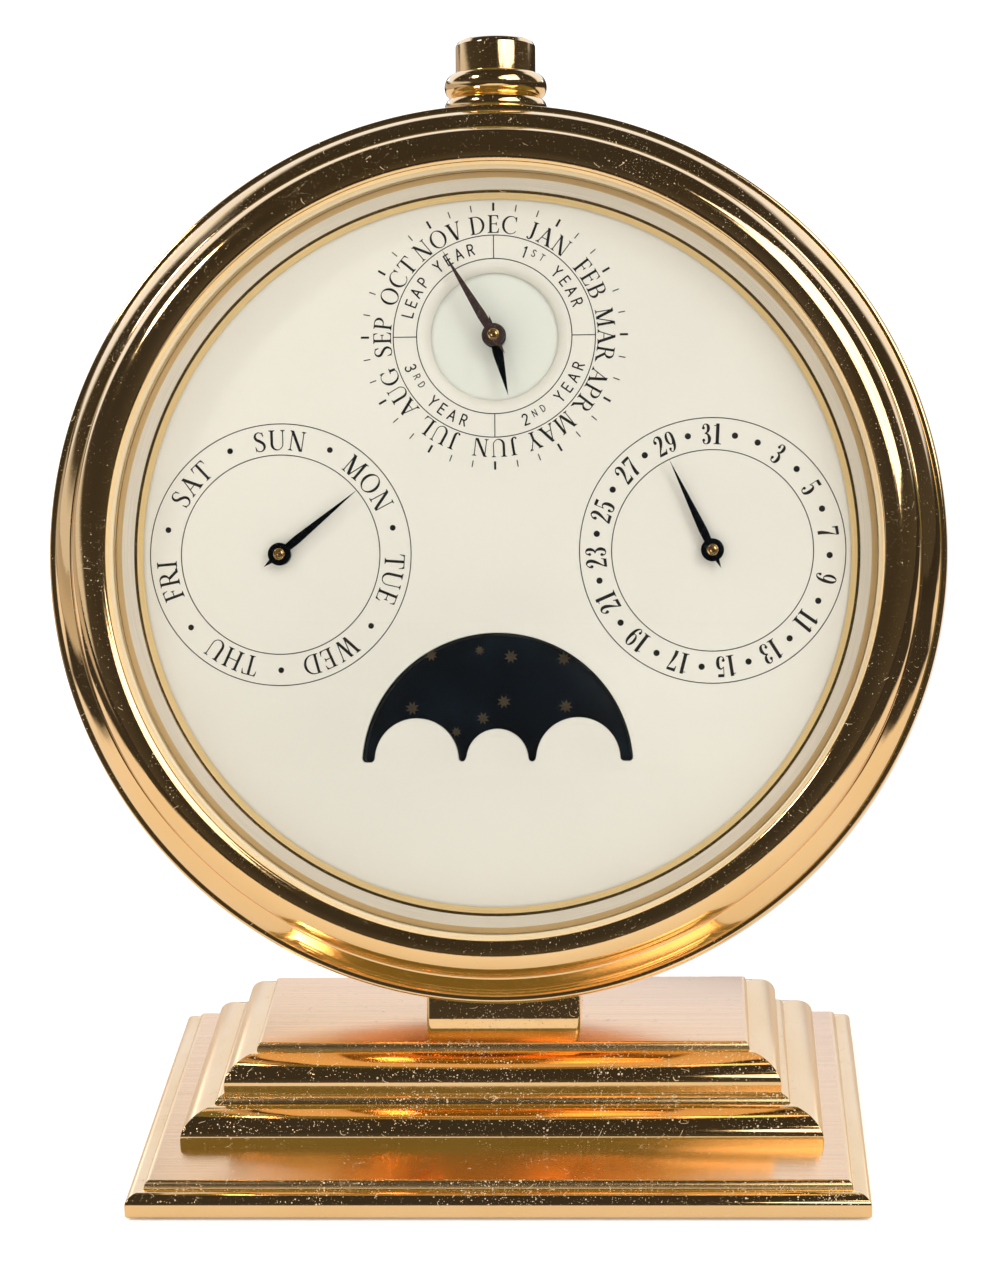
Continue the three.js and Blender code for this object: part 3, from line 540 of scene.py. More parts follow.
def make_glass(name):
    """A clear pane: what is behind shows unbent, and the surface mirrors a little."""
    m, t = new_material(name)
    clear = t.node("ShaderNodeBsdfTransparent", {"Color": (0.985, 0.992, 0.985, 1)})
    smudge = t.noise(object_mm(t), 0.08, 3.0, 0.6).outputs["Fac"]
    shine = t.node("ShaderNodeBsdfGlossy", {"Color": (1, 1, 1, 1), "Roughness": t.step(smudge, 0.4, 0.8, 0.0, 0.04)})
    fr = t.node("ShaderNodeFresnel", {"IOR": 1.32})
    mixed = t.node("ShaderNodeMixShader", {0: fr.outputs[0], 1: clear.outputs[0], 2: shine.outputs[0]})
    t.node("ShaderNodeOutputMaterial", {"Surface": mixed.outputs[0]})
    return m


def make_felt(name, base):
    m, t = new_material(name)
    mm = object_mm(t)
    n = t.noise(mm, 3.0, 5.0, 0.75, 0.6).outputs["Fac"]
    hair = t.noise(t.mapping(mm, scale=(1.0, 6.0, 6.0)), 2.0, 3.0, 0.6).outputs["Fac"]
    tone = t.mix(t.step(t.math("MULTIPLY", n, t.math("ADD", hair, 0.5)), 0.3, 0.8), base, tuple(c * 2.1 for c in base[:3]) + (1,))
    finish(t, None, **{"Base Color": tone, "Roughness": 0.95, "Sheen Weight": 0.5, "Sheen Roughness": 0.5, "Normal": bump(t, n, 0.7, 0.0004)})
    return m


M = {
    "gold": make_gold("polished_gold", rough=0.06, turned_lines=True, dusty=0.135, fibres=0.06),
    "gold_base": make_gold("polished_gold_base", rough=0.065, dusty=0.24, orange=0.015, fibres=0.17),
    "gold_button": make_gold("polished_gold_button", rough=0.09, dusty=0.14, orange=0.05, fibres=0),
    "gold_side": make_gold("side_gold", rough=0.30, dusty=0.12, orange=0.02, fibres=0.15),
    "gold_soft": make_gold("soft_gold", rough=0.24, dusty=0.26, fibres=0.25, orange=0.03),
    "lip": make_satin("satin_lip", (0.86, 0.70, 0.46, 1), 0.35),
    "flange": make_satin("satin_flange", (0.96, 0.63, 0.30, 1), 0.25),
    "rehaut": make_satin("satin_rehaut", (1.0, 0.87, 0.74, 1), 0.04),
    "bevel": make_satin("satin_bevel", (1.0, 0.70, 0.33, 1), 0.08, 0.34),
    "brushed": make_brushed("brushed_gold"),
    "satin": make_brushed("satin_gold", rough=0.3, aniso=0.0, circular=True, dusty=0.05),
    "brass": make_metal("movement_brass", (0.80, 0.60, 0.30, 1), 0.24, 0.1, (0.4, 3.0, 0.4)),
    "plate": make_perlage("plate_brass", (0.82, 0.66, 0.40, 1)),
    "nickel": make_perlage("bridge_nickel", (0.78, 0.76, 0.72, 1)),
    "steel": make_metal("polished_steel", (0.62, 0.62, 0.63, 1), 0.18, 0.06, (1.0, 4.0, 1.0)),
    "blue": make_hand("blued_steel", (0.016, 0.022, 0.033, 1), (0.024, 0.032, 0.045, 1)),
    "brown": make_hand("brown_steel", (0.075, 0.045, 0.043, 1), (0.10, 0.06, 0.055, 1), 0.45),
    "dial": make_dial("dial_cream", (0.925, 0.862, 0.775, 1)),
    "disc": make_dial("disc_pale", (0.86, 0.845, 0.765, 1), 0.5),
    "ink": make_ink("dial_ink", (0.012, 0.010, 0.009, 1)),
    "night": make_night("night_lacquer"),
    "star": make_metal("star_gilt", (0.20, 0.15, 0.10, 1), 0.5, 0.1),
    "moon": make_metal("moon_gilt", (0.80, 0.66, 0.38, 1), 0.3, 0.1),
    "glass": make_glass("crystal_clear"),
    "felt": make_felt("base_felt", (0.012, 0.030, 0.018, 1)),
}


def dress(name, mat):
    me = nodes[name].data
    me.materials.clear()
    me.materials.append(mat)
    me.polygons.foreach_set("material_index", [0] * len(me.polygons))


for group, key in (
    ("felt_pad", "felt"),
    ("base_screw_left base_screw_right post_screw_left post_screw_right back_cover_screw_upper_right back_cover_screw_upper_left back_cover_screw_lower_left back_cover_screw_lower_right", "steel"),
    ("pusher_stem return_spring lever_pivot date_arbor day_arbor moon_arbor month_arbor year_pipe", "steel"),
    ("pusher_bushing plate_pillar_left plate_pillar_right plate_pillar_bottom", "brass"),
    ("main_plate", "plate"),
    ("bridge_plate", "nickel"),
    ("date_star_wheel day_star_wheel moon_star_wheel month_star_wheel program_wheel year_wheel transfer_pinion transfer_wheel", "brass"),
    ("grand_lever day_pawl date_pawl moon_pawl date_jumper day_jumper moon_jumper month_jumper", "steel"),
):
    for n in group.split():
        dress(n, M[key])

# ---------------------------------------------------------------- case
DRUM = smooth_path([(61.62, 0.35), (61.72, 1.2), (61.92, 3.0), (62.18, 6.0), (62.15, 10.0), (61.75, 15.0), (61.0, 19.0)], 5)
DRUM = [(60.84, 0.02), (60.9, 0.0), (61.28, 0.0), (61.42, 0.04), (61.54, 0.14)] + DRUM + [(60.6, 19.15), (57.0, 19.15), (57.0, 9.4), (54.2, 9.4), (54.2, 7.4), (57.0, 7.4), (57.0, 2.75), (56.7, 2.75), (56.7, 0.02)]
turned("case_drum_turned", DRUM, "case", M["gold"], hides=["case_drum"])

BEZEL = (
    smooth_path([(60.78, -0.12), (60.76, -0.35), (60.62, -0.82), (60.3, -1.42), (60.0, -1.88), (59.5, -2.46), (59.0, -2.95), (58.5, -3.4), (58.12, -3.74)], 4)
    + [(57.94, -3.79), (57.9, -3.84)]
    + arc(54.35, -3.3, 3.55, 3.45, -11, -114, 56)
    + [(52.82, -6.36), (52.78, -6.2), (52.72, -3.98)]
    + fillet([(52.72, -3.95), (52.2, -3.9, 0.12), (52.15, -3.45)], closed=False, seg=4)[1:]
    + [(52.15, 0.98), (52.4, 0.98), (52.4, 2.6), (56.6, 2.6), (56.6, -0.02), (60.72, -0.02)]
)
turned(
    "front_bezel_turned", BEZEL, "case", None, n=320, hides=["front_bezel"],
    mats=[M["gold"], M["lip"], M["bevel"]], pick=lambda p, q: 1 if max(p[0], q[0]) < 52.73 and min(p[1], q[1]) > -4.0 else 2 if max(p[0], q[0]) < 52.81 and min(p[1], q[1]) > -6.3 else 0,
)

INNER = fillet([(52.1, -1.4, 0.05), (51.3, -1.4, 0.06), (49.82, 0.05, 0.05), (49.78, 0.2, 0.04), (49.45, 0.2, 0.05), (48.65, 0.66, 0.06), (48.65, 0.9), (52.1, 0.9)], seg=4)
turned(
    "inner_ring_turned", INNER, "case", None, hides=["inner_ring"],
    mats=[M["gold"], M["flange"], M["rehaut"], M["bevel"]],
    pick=lambda p, q: 1 if p[0] + q[0] > 102.5 else 2 if p[0] + q[0] > 99.75 else 3 if p[0] + q[0] < 98.86 else 0,
)

GLASS = fillet([(0.0, -3.5), (52.1, -3.5, 0.25), (52.1, -1.7, 0.15), (0.0, -1.7)], closed=False, seg=4)
turned("crystal_pane", GLASS, "case", M["glass"], hides=["crystal"])

REAR = fillet([(60.9, 19.3, 0.1), (60.75, 20.1, 0.4), (59.8, 21.05, 0.5), (58.4, 21.4, 0.3), (57.9, 21.4, 0.12), (57.9, 19.3)], seg=5)
turned("rear_bezel_turned", REAR, "case", M["gold"], hides=["rear_bezel"])

BACK = fillet([(0.0, 19.4), (57.5, 19.4), (57.5, 20.72, 0.25), (56.3, 20.9, 0.1), (47.6, 20.9, 0.05), (47.45, 20.72, 0.04), (47.1, 20.72, 0.04), (46.95, 20.9, 0.05), (0.0, 20.9)], closed=False, seg=3)
turned("back_cover_turned", BACK, "case", M["satin"], n=192, hides=["back_cover"])

# ---------------------------------------------------------------- button
PUSH_D = 9.75


def upright(profile, n=128):
    """A profile of (radius, height) turned about the button's own axis."""
    v, f, _ = lathe(profile, n)
    return [(x, PUSH_D + y, z) for (x, z, y) in [(p[0], p[1], p[2]) for p in v]], f


CAP = [(0.0, 67.02), (5.4, 67.02)] + fillet([(5.4, 67.02), (5.6, 67.2, 0.1), (5.6, 71.35, 0.25), (5.28, 71.92, 0.3), (4.55, 72.2, 0.6), (2.4, 72.5, 1.5), (1.0, 72.6)], closed=False, seg=6)[1:] + [(0.0, 72.6)]
v, f = upright(CAP)
build("pusher_cap_turned", v, f, "pusher", [M["gold_button"]], hides=["pusher_cap"])

COLLAR = (
    [(5.9, 61.35), (6.5, 61.35)]
    + arc(6.0, 62.62, 1.18, 1.35, -62, 60, 18)
    + arc(5.75, 65.62, 1.42, 1.74, -66, 88, 26)
    + [(5.9, 67.36)]
)
v, f = upright(COLLAR)
build("pusher_collar_turned", v, f, "case", [M["gold_button"]], hides=["pusher_collar"])


def coil(r, wire, z0, z1, turns, steps, sides):
    """A round wire wound about the button's stem, closed at both ends."""
    verts, faces = [], []
    rise = (z1 - z0) / (2 * math.pi * turns)
    for i in range(steps + 1):
        a = 2 * math.pi * turns * i / steps
        out = np.array([math.cos(a), math.sin(a), 0.0])
        along = np.array([-r * math.sin(a), r * math.cos(a), rise])
        side = np.cross(along / np.linalg.norm(along), out)
        mid = out * r + np.array([0.0, PUSH_D, z0 + (z1 - z0) * i / steps])
        for k in range(sides):
            u = 2 * math.pi * k / sides
            verts.append(tuple(mid + out * wire * math.cos(u) + side * wire * math.sin(u)))
    for i in range(steps):
        for k in range(sides):
            q = (k + 1) % sides
            faces.append([i * sides + k, i * sides + q, (i + 1) * sides + q, (i + 1) * sides + k])
    faces.append(list(range(sides))[::-1])
    faces.append([steps * sides + k for k in range(sides)])
    return verts, faces


v, f = coil(3.6, 0.3, 62.85, 66.35, 3.5, 168, 12)
spring = build("return_spring_coil", v, f, "case", [M["steel"]], hides=["return_spring"])
foot = case_to_world([(0.0, PUSH_D, 62.5)])[0]
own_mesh(spring)


# ---------------------------------------------------------------- base
def ovolo(o0, z0, o1, z1, p, n=26):
    out = []
    for k in range(n + 1):
        t = math.pi / 2 * k / n
        out.append((o1 - (o1 - o0) * max(math.cos(t), 0.0) ** (2 / p), z0 + (z1 - z0) * math.sin(t) ** (2 / p)))
    return out


def moulding(profile, ledge, rc=0.14, nc=3):
    """A profile of (inset, height) swept round the rectangle of the base, flat at both ends. ledge is how far the
    front stands back from the slab's front."""
    verts, faces, seg = [], [], []
    for o, z in profile:
        x1, y1, y0 = 50.0 - o, 32.0 - o, -(32.0 - o - ledge)
        for cx, cy, a0 in ((x1 - rc, y0 + rc, -90), (x1 - rc, y1 - rc, 0), (-x1 + rc, y1 - rc, 90), (-x1 + rc, y0 + rc, 180)):
            for k in range(nc + 1):
                a = math.radians(a0 + 90.0 * k / nc)
                verts.append((cx + rc * math.cos(a), cy + rc * math.sin(a), z))
    m = 4 * (nc + 1)
    for i in range(len(profile) - 1):
        for k in range(m):
            q = (k + 1) % m
            faces.append([i * m + k, i * m + q, (i + 1) * m + q, (i + 1) * m + k])
            seg.append(i)
    faces.append(list(range(m))[::-1])
    seg.append(-1)
    last = (len(profile) - 1) * m
    faces.append([last + k for k in range(m)])
    seg.append(-2)
    return verts, faces, seg


def brush_uv(co):
    return (co.y * 10, co.x * 10)


def base_piece(name, profile, ledge, node, cove):
    v, f, seg = moulding(profile, ledge)
    index = [1 if s == -2 else 3 if k % 16 in (2, 3, 4, 10, 11, 12) else 2 if s >= cove else 0 for k, s in enumerate(seg)]
    build(name, v, f, "case", [M["gold_base"], M["brushed"], M["gold_soft"], M["gold_side"]], index, [node], 24.0, plain_to_world, brush_uv)


SLAB = (
    [(3.7, 1.2), (3.7, 0.3), (0.42, 0.3), (0.3, 0.33), (0.06, 0.57), (0.0, 0.68)]
    + ovolo(0.0, 2.0, 1.8, 3.55, 2.1)
    + [(2.28, 3.57), (2.35, 3.63), (2.42, 4.05), (2.52, 4.3), (2.72, 4.5), (2.95, 4.63), (3.1, 4.66)]
)
base_piece("base_slab_moulded", SLAB, 0.0, "base_slab", len(SLAB) - 7)
LOWER = (
    [(5.85, 4.66)]
    + ovolo(5.85, 5.65, 10.25, 9.05, 1.95, 32)
    + [(10.3, 9.18), (10.36, 9.35), (10.46, 9.55), (10.62, 9.72), (10.9, 9.88), (11.22, 9.98), (11.36, 10.05), (11.43, 10.13)]
)
base_piece("lower_step_moulded", LOWER, 7.7, "lower_step", len(LOWER) - 8)
UPPER = (
    [(11.45, 10.13)]
    + ovolo(11.45, 11.2, 15.7, 14.66, 1.95, 32)
    + [(15.74, 14.85), (15.8, 15.1), (15.87, 15.32), (15.99, 15.52), (16.15, 15.66), (16.32, 15.71)]
)
base_piece("upper_step_moulded", UPPER, 7.7, "upper_step", len(UPPER) - 7)

POST_X, POST_F, POST_B, POST_R = 10.8, -4.2, 8.0, 0.7
verts, faces = [], []
levels = [(15.71, 0.0), (17.4, 0.253), (17.5, 0.275), (17.62, 0.31), (None, None)]
for z, back in levels:
    if z is None:
        back = 1.49
    for cx, cy, a0 in ((POST_X - POST_R, POST_F + back + POST_R, -90), (POST_X - POST_R, POST_B - POST_R, 0), (-POST_X + POST_R, POST_B - POST_R, 90), (-POST_X + POST_R, POST_F + back + POST_R, 180)):
        for k in range(5):
            a = math.radians(a0 + 90.0 * k / 4)
            x, y = cx + POST_R * math.cos(a), cy + POST_R * math.sin(a)
            verts.append((x, y, z) if z else (x, y, 20.9 - 0.3217 * (y + 3.0)))
m = 20
for i in range(len(levels) - 1):
    for k in range(m):
        faces.append([i * m + k, i * m + (k + 1) % m, (i + 1) * m + (k + 1) % m, (i + 1) * m + k])
faces.append(list(range(m))[::-1])
faces.append([(len(levels) - 1) * m + k for k in range(m)])
build("pedestal_post_shaped", verts, faces, "case", [M["gold_base"]], None, ["pedestal_post"], 24.0, plain_to_world)

# ---------------------------------------------------------------- outlines in the dial plane


def poly_distance(P, X, Y):
    """Signed distance to a polygon, negative inside."""
    P = np.asarray(P, float)
    Q = np.roll(P, -1, 0)
    d2 = np.full(X.shape, 1e9)
    inside = np.zeros(X.shape, bool)
    for (x0, y0), (x1, y1) in zip(P, Q):
        ex, ey = x1 - x0, y1 - y0
        L = ex * ex + ey * ey
        if L < 1e-14:
            continue
        t = np.clip(((X - x0) * ex + (Y - y0) * ey) / L, 0, 1)
        d2 = np.minimum(d2, (X - x0 - t * ex) ** 2 + (Y - y0 - t * ey) ** 2)
        if ey != 0:
            inside ^= ((y0 > Y) != (y1 > Y)) & (X < x0 + (Y - y0) * ex / ey)
    return np.where(inside, -1.0, 1.0) * np.sqrt(d2)


def path_distance(P, X, Y):
    """Distance to a stroke whose points are (x, y, width)."""
    d = np.full(X.shape, 1e9)
    for (x0, y0, w0), (x1, y1, w1) in zip(P[:-1], P[1:]):
        ex, ey = x1 - x0, y1 - y0
        L = max(ex * ex + ey * ey, 1e-12)
        t = np.clip(((X - x0) * ex + (Y - y0) * ey) / L, 0, 1)
        d = np.minimum(d, np.sqrt((X - x0 - t * ex) ** 2 + (Y - y0 - t * ey) ** 2) - 0.5 * (w0 + (w1 - w0) * t))
    return d


CELLS = {
    1: ("BL",), 2: ("RB",), 4: ("TR",), 8: ("LT",), 3: ("RL",), 6: ("TB",), 12: ("LR",), 9: ("BT",),
    7: ("TL",), 11: ("RT",), 13: ("BR",), 14: ("LB",), 5: ("BL", "TR"), 10: ("RB", "LT"),
}


def contours(F, x0, y0, h, tol):
    """Closed loops of F = 0 with the negative side on the left, thinned out to tol."""
    F = np.where(F == 0, 1e-9, F)
    S = F < 0
    code = S[:-1, :-1] * 1 + S[:-1, 1:] * 2 + S[1:, 1:] * 4 + S[1:, :-1] * 8
    nxt = {}
    for j, i in np.argwhere((code > 0) & (code < 15)):
        edge = {"B": (0, j, i), "T": (0, j + 1, i), "L": (1, j, i), "R": (1, j, i + 1)}
        for a, b in CELLS[int(code[j, i])]:
            nxt[edge[a]] = edge[b]

    def at(e):
        k, j, i = e
        if k == 0:
            t = F[j, i] / (F[j, i] - F[j, i + 1])
            return (x0 + (i + t) * h, y0 + j * h)
        t = F[j, i] / (F[j, i] - F[j + 1, i])
        return (x0 + i * h, y0 + (j + t) * h)

    loops = []
    while nxt:
        start = next(iter(nxt))
        e, loop = start, []
        while e in nxt:
            loop.append(at(e))
            e = nxt.pop(e)
        if len(loop) > 4:
            loops.append(thin(loop, tol))
    return [l for l in loops if len(l) > 2]


def thin(loop, tol):
    P = np.array(loop)
    keep = np.zeros(len(P), bool)
    far = int(np.argmax(((P - P[0]) ** 2).sum(1)))
    keep[0] = keep[far] = True
    stack = [(0, far), (far, len(P))]
    while stack:
        a, b = stack.pop()
        if b - a < 2:
            continue
        A, B = P[a], P[b % len(P)]
        d = B - A
        n = max(np.hypot(*d), 1e-9)
        mid = P[a + 1 : b]
        off = np.abs((mid[:, 0] - A[0]) * d[1] - (mid[:, 1] - A[1]) * d[0]) / n
        k = int(np.argmax(off))
        if off[k] > tol:
            keep[a + 1 + k] = True
            stack += [(a, a + 1 + k), (a + 1 + k, b)]
    return [tuple(p) for p in P[keep]]


def slab_of(loops, top, bottom):
    """A thin closed body with that outline, between two depths: (points, faces)."""
    flat = [p for l in loops for p in l]
    tris = tessellate_polygon([[Vector((p[0], p[1], 0)) for p in l] for l in loops])
    n = len(flat)
    verts = [(x, top, z) for x, z in flat] + [(x, bottom, z) for x, z in flat]
    faces = []
    for a, b, c in tris:
        A, B, C = flat[a], flat[b], flat[c]
        if (B[0] - A[0]) * (C[1] - A[1]) - (B[1] - A[1]) * (C[0] - A[0]) < 0:
            b, c = c, b
        faces += [[a, b, c], [a + n, c + n, b + n]]
    k = 0
    for l in loops:
        m = len(l)
        for i in range(m):
            a, b = k + i, k + (i + 1) % m
            faces.append([a, a + n, b + n, b])
        k += m
    return verts, faces


# ---------------------------------------------------------------- lettering, drawn from strokes
TH, TN, SE, SX = 0.125, 0.047, 0.036, 0.085


def bx(x0, y0, x1, y1):
    return ("+", [(x0, y0), (x1, y0), (x1, y1), (x0, y1)])


def dg(x0, y0, x1, y1, w):
    return ("+", [(x0 - w / 2, y0), (x0 + w / 2, y0), (x1 + w / 2, y1), (x1 - w / 2, y1)])


def foot(xl, xr, y=0.0, up=1.0, lo=SX, ro=SX, b=0.075):
    left = [(xl - lo, y), (xl - lo, y + SE * up)]
    left += [(xl - lo * 0.45, y + (SE + 0.012) * up), (xl - lo * 0.12, y + (SE + 0.4 * b) * up), (xl, y + (SE + b) * up)] if lo else [(xl, y + SE * up)]
    right = [(xr, y + (SE + b) * up), (xr + ro * 0.12, y + (SE + 0.4 * b) * up), (xr + ro * 0.45, y + (SE + 0.012) * up)] if ro else [(xr, y + SE * up)]
    right += [(xr + ro, y + SE * up), (xr + ro, y)]
    return ("+", left + right)


def stem(x, w=TH, lo=SX, ro=SX, top=True, bottom=True, y0=0.0, y1=1.0):
    out = [bx(x, y0, x + w, y1)]
    if bottom:
        out.append(foot(x, x + w, 0, 1, lo, ro))
    if top:
        out.append(foot(x, x + w, 1, -1, lo, ro))
    return out


def half(x, cx, y0, y1, rx, extra=()):
    """The right-hand half of a bowl from a stem at x."""
    return [(x, y0), (cx, y0)] + arc(cx, (y0 + y1) / 2, rx, (y1 - y0) / 2, -90, 90, 22) + [(x, y1)]


def curve(pts, per=7):
    return ("~", smooth_path(pts, per))


SERIF = {
    "I": (0.365, stem(0.12)),
    "H": (0.88, stem(0.12) + stem(0.635) + [bx(0.2, 0.49, 0.68, 0.49 + TN)]),
    "L": (0.665, stem(0.12) + [bx(0.2, 0, 0.6, TN), ("+", [(0.44, 0), (0.605, 0), (0.635, 0.27), (0.605, 0.27), (0.56, 0.12), (0.5, TN)])]),
    "E": (
        0.67,
        stem(0.12)
        + [
            bx(0.2, 0, 0.58, TN),
            ("+", [(0.42, 0), (0.585, 0), (0.62, 0.26), (0.59, 0.26), (0.545, 0.12), (0.48, TN)]),
            bx(0.2, 1 - TN, 0.56, 1),
            ("+", [(0.40, 1), (0.565, 1), (0.585, 0.76), (0.555, 0.76), (0.52, 0.89), (0.46, 1 - TN)]),
            bx(0.2, 0.51 - TN / 2, 0.46, 0.51 + TN / 2),
            ("+", [(0.44, 0.51 - TN / 2), (0.475, 0.41), (0.50, 0.41), (0.50, 0.61), (0.475, 0.61), (0.44, 0.51 + TN / 2)]),
        ],
    ),
    "F": (
        0.61,
        stem(0.12)
        + [
            bx(0.2, 1 - TN, 0.54, 1),
            ("+", [(0.38, 1), (0.545, 1), (0.565, 0.75), (0.535, 0.75), (0.5, 0.89), (0.44, 1 - TN)]),
            bx(0.2, 0.50 - TN / 2, 0.44, 0.50 + TN / 2),
            ("+", [(0.42, 0.50 - TN / 2), (0.455, 0.40), (0.48, 0.40), (0.48, 0.60), (0.455, 0.60), (0.42, 0.50 + TN / 2)]),
        ],
    ),
    "D": (0.88, [("+", half(0.12, 0.34, 0, 1, 0.46)), ("-", half(0.245, 0.33, TN, 1 - TN, 0.345))] + stem(0.12, ro=0)),
    "O": (0.94, [("+", arc(0.47, 0.5, 0.42, 0.515, 0, 360, 48)[:-1]), ("-", arc(0.47, 0.5, 0.295, 0.472, 0, 360, 48)[:-1])]),
    "C": (
        0.86,
        [
            ("+", arc(0.48, 0.5, 0.43, 0.515, 0, 360, 48)[:-1]),
            ("-", arc(0.515, 0.5, 0.335, 0.47, 0, 360, 48)[:-1]),
            ("-", [(0.62, 0.24), (1.3, 0.24), (1.3, 0.76), (0.62, 0.76)]),
            ("-", [(0.775, -0.1), (1.3, -0.1), (1.3, 1.1), (0.775, 1.1)]),
            ("+", [(0.775, 1.0), (0.775, 0.69), (0.75, 0.69), (0.715, 0.82), (0.66, 0.91), (0.72, 0.96)]),
            ("+", [(0.70, 0.10), (0.78, 0.21), (0.805, 0.19), (0.74, 0.09), (0.66, 0.03)]),
        ],
    ),
    "G": (
        0.92,
        [
            ("+", arc(0.48, 0.5, 0.43, 0.515, 0, 360, 48)[:-1]),
            ("-", arc(0.515, 0.5, 0.335, 0.47, 0, 360, 48)[:-1]),
            ("-", [(0.62, 0.30), (1.3, 0.30), (1.3, 0.76), (0.62, 0.76)]),
            ("-", [(0.80, -0.1), (1.3, -0.1), (1.3, 1.1), (0.80, 1.1)]),
            ("+", [(0.775, 1.0), (0.775, 0.69), (0.75, 0.69), (0.715, 0.82), (0.66, 0.91), (0.72, 0.96)]),
            bx(0.69, 0.07, 0.69 + TH, 0.42),
            foot(0.69, 0.69 + TH, 0.42, -1),
        ],
    ),
    "P": (0.68, [("+", half(0.12, 0.36, 0.46, 1, 0.275)), ("-", half(0.245, 0.35, 0.46 + TN, 1 - TN, 0.16))] + stem(0.12, ro=0, bottom=False) + [foot(0.12, 0.245)]),
    "R": (
        0.83,
        [("+", half(0.12, 0.36, 0.47, 1, 0.27)), ("-", half(0.245, 0.35, 0.47 + TN, 1 - TN, 0.155))]
        + stem(0.12, ro=0, bottom=False)
        + [foot(0.12, 0.245), dg(0.72, 0.0, 0.40, 0.5, 0.155), foot(0.645, 0.797, lo=0.03, ro=0.09)],
    ),
    "B": (
        0.74,
        [
            ("+", half(0.12, 0.36, 0.49, 1, 0.24)),
            ("-", half(0.245, 0.35, 0.49 + TN, 1 - TN, 0.13)),
            ("+", half(0.12, 0.38, 0, 0.535, 0.29)),
            ("-", half(0.245, 0.37, TN, 0.535 - TN, 0.17)),
        ]
        + stem(0.12, ro=0),
    ),
    "S": (
        0.62,
        [
            curve([(0.50, 0.80, 0.045), (0.44, 0.915, 0.05), (0.30, 0.975, 0.05), (0.165, 0.91, 0.085), (0.115, 0.775, 0.115), (0.17, 0.635, 0.13), (0.32, 0.525, 0.14), (0.455, 0.39, 0.13), (0.495, 0.235, 0.115), (0.43, 0.085, 0.08), (0.29, 0.022, 0.05), (0.14, 0.075, 0.05), (0.085, 0.20, 0.045)]),
            ("+", [(0.50, 0.985), (0.51, 0.72), (0.485, 0.72), (0.44, 0.87), (0.47, 0.93)]),
            ("+", [(0.07, 0.015), (0.06, 0.29), (0.088, 0.29), (0.135, 0.13), (0.10, 0.06)]),
        ],
    ),
    "J": (
        0.50,
        [bx(0.21, 0.26, 0.21 + TH, 1), foot(0.21, 0.21 + TH, 1, -1), curve([(0.2725, 0.30, TH), (0.262, 0.13, 0.12), (0.205, 0.03, 0.08), (0.125, -0.005, 0.055), (0.06, 0.045, 0.07)]), ("~", [(0.07, 0.06, 0.10), (0.072, 0.062, 0.10)])],
    ),
    "T": (
        0.74,
        [
            bx(0.3075, 0, 0.4325, 1),
            foot(0.3075, 0.4325),
            bx(0.05, 1 - TN, 0.69, 1),
            ("+", [(0.20, 1), (0.045, 1), (0.02, 0.73), (0.05, 0.73), (0.085, 0.88), (0.14, 1 - TN)]),
            ("+", [(0.54, 1), (0.695, 1), (0.72, 0.73), (0.69, 0.73), (0.655, 0.88), (0.60, 1 - TN)]),
        ],
    ),
    "U": (
        0.88,
        [
            ("+", [(0.13, 1), (0.13, 0.32)] + arc(0.435, 0.32, 0.305, 0.335, 180, 360, 24) + [(0.74, 1)]),
            ("-", [(0.255, 1.1), (0.255, 0.32)] + arc(0.474, 0.32, 0.219, 0.28, 180, 360, 24) + [(0.693, 1.1)]),
            foot(0.13, 0.255, 1, -1),
            foot(0.693, 0.74, 1, -1),
        ],
    ),
    "V": (0.82, [dg(0.415, -0.01, 0.16, 1, 0.15), dg(0.435, -0.01, 0.68, 1, 0.052), foot(0.085, 0.235, 1, -1, 0.07, 0.07), foot(0.654, 0.706, 1, -1, 0.08, 0.08)]),
    "W": (
        1.14,
        [
            dg(0.375, -0.01, 0.15, 1, 0.14), dg(0.39, -0.01, 0.575, 1, 0.05), dg(0.765, -0.01, 0.535, 1, 0.14), dg(0.78, -0.01, 1.0, 1, 0.05),
            foot(0.08, 0.22, 1, -1, 0.06, 0.06), foot(0.50, 0.60, 1, -1, 0.05, 0.0), foot(0.975, 1.025, 1, -1, 0.07, 0.07),
        ],
    ),
    "A": (0.82, [dg(0.13, 0, 0.41, 1.0, 0.052), dg(0.69, 0, 0.385, 1.0, 0.15), bx(0.21, 0.33, 0.60, 0.33 + TN), foot(0.104, 0.156, lo=0.08, ro=0.08), foot(0.615, 0.765, lo=0.08, ro=0.07)]),
    "N": (0.90, [bx(0.16, 0, 0.16 + TN, 1), bx(0.70, 0, 0.70 + TN, 1), dg(0.675, 0, 0.17, 1, 0.15), foot(0.16, 0.16 + TN), foot(0.70, 0.70 + TN, 1, -1), foot(0.13, 0.2, 1, -1, 0.06, 0.0)]),
    "M": (
        1.03,
        [bx(0.15, 0, 0.15 + TN, 1), dg(0.485, 0, 0.19, 1, 0.15), dg(0.50, 0, 0.80, 1, 0.052), bx(0.765, 0, 0.765 + TH, 1), foot(0.15, 0.15 + TN), foot(0.765, 0.89), foot(0.12, 0.2, 1, -1, 0.06, 0.0), foot(0.80, 0.89, 1, -1, 0.0, SX)],
    ),
    "Y": (0.78, [dg(0.385, 0.44, 0.14, 1, 0.14), dg(0.405, 0.44, 0.645, 1, 0.052), bx(0.325, 0, 0.45, 0.48), foot(0.325, 0.45), foot(0.07, 0.21, 1, -1, 0.06, 0.07), foot(0.619, 0.671, 1, -1, 0.07, 0.07)]),
}

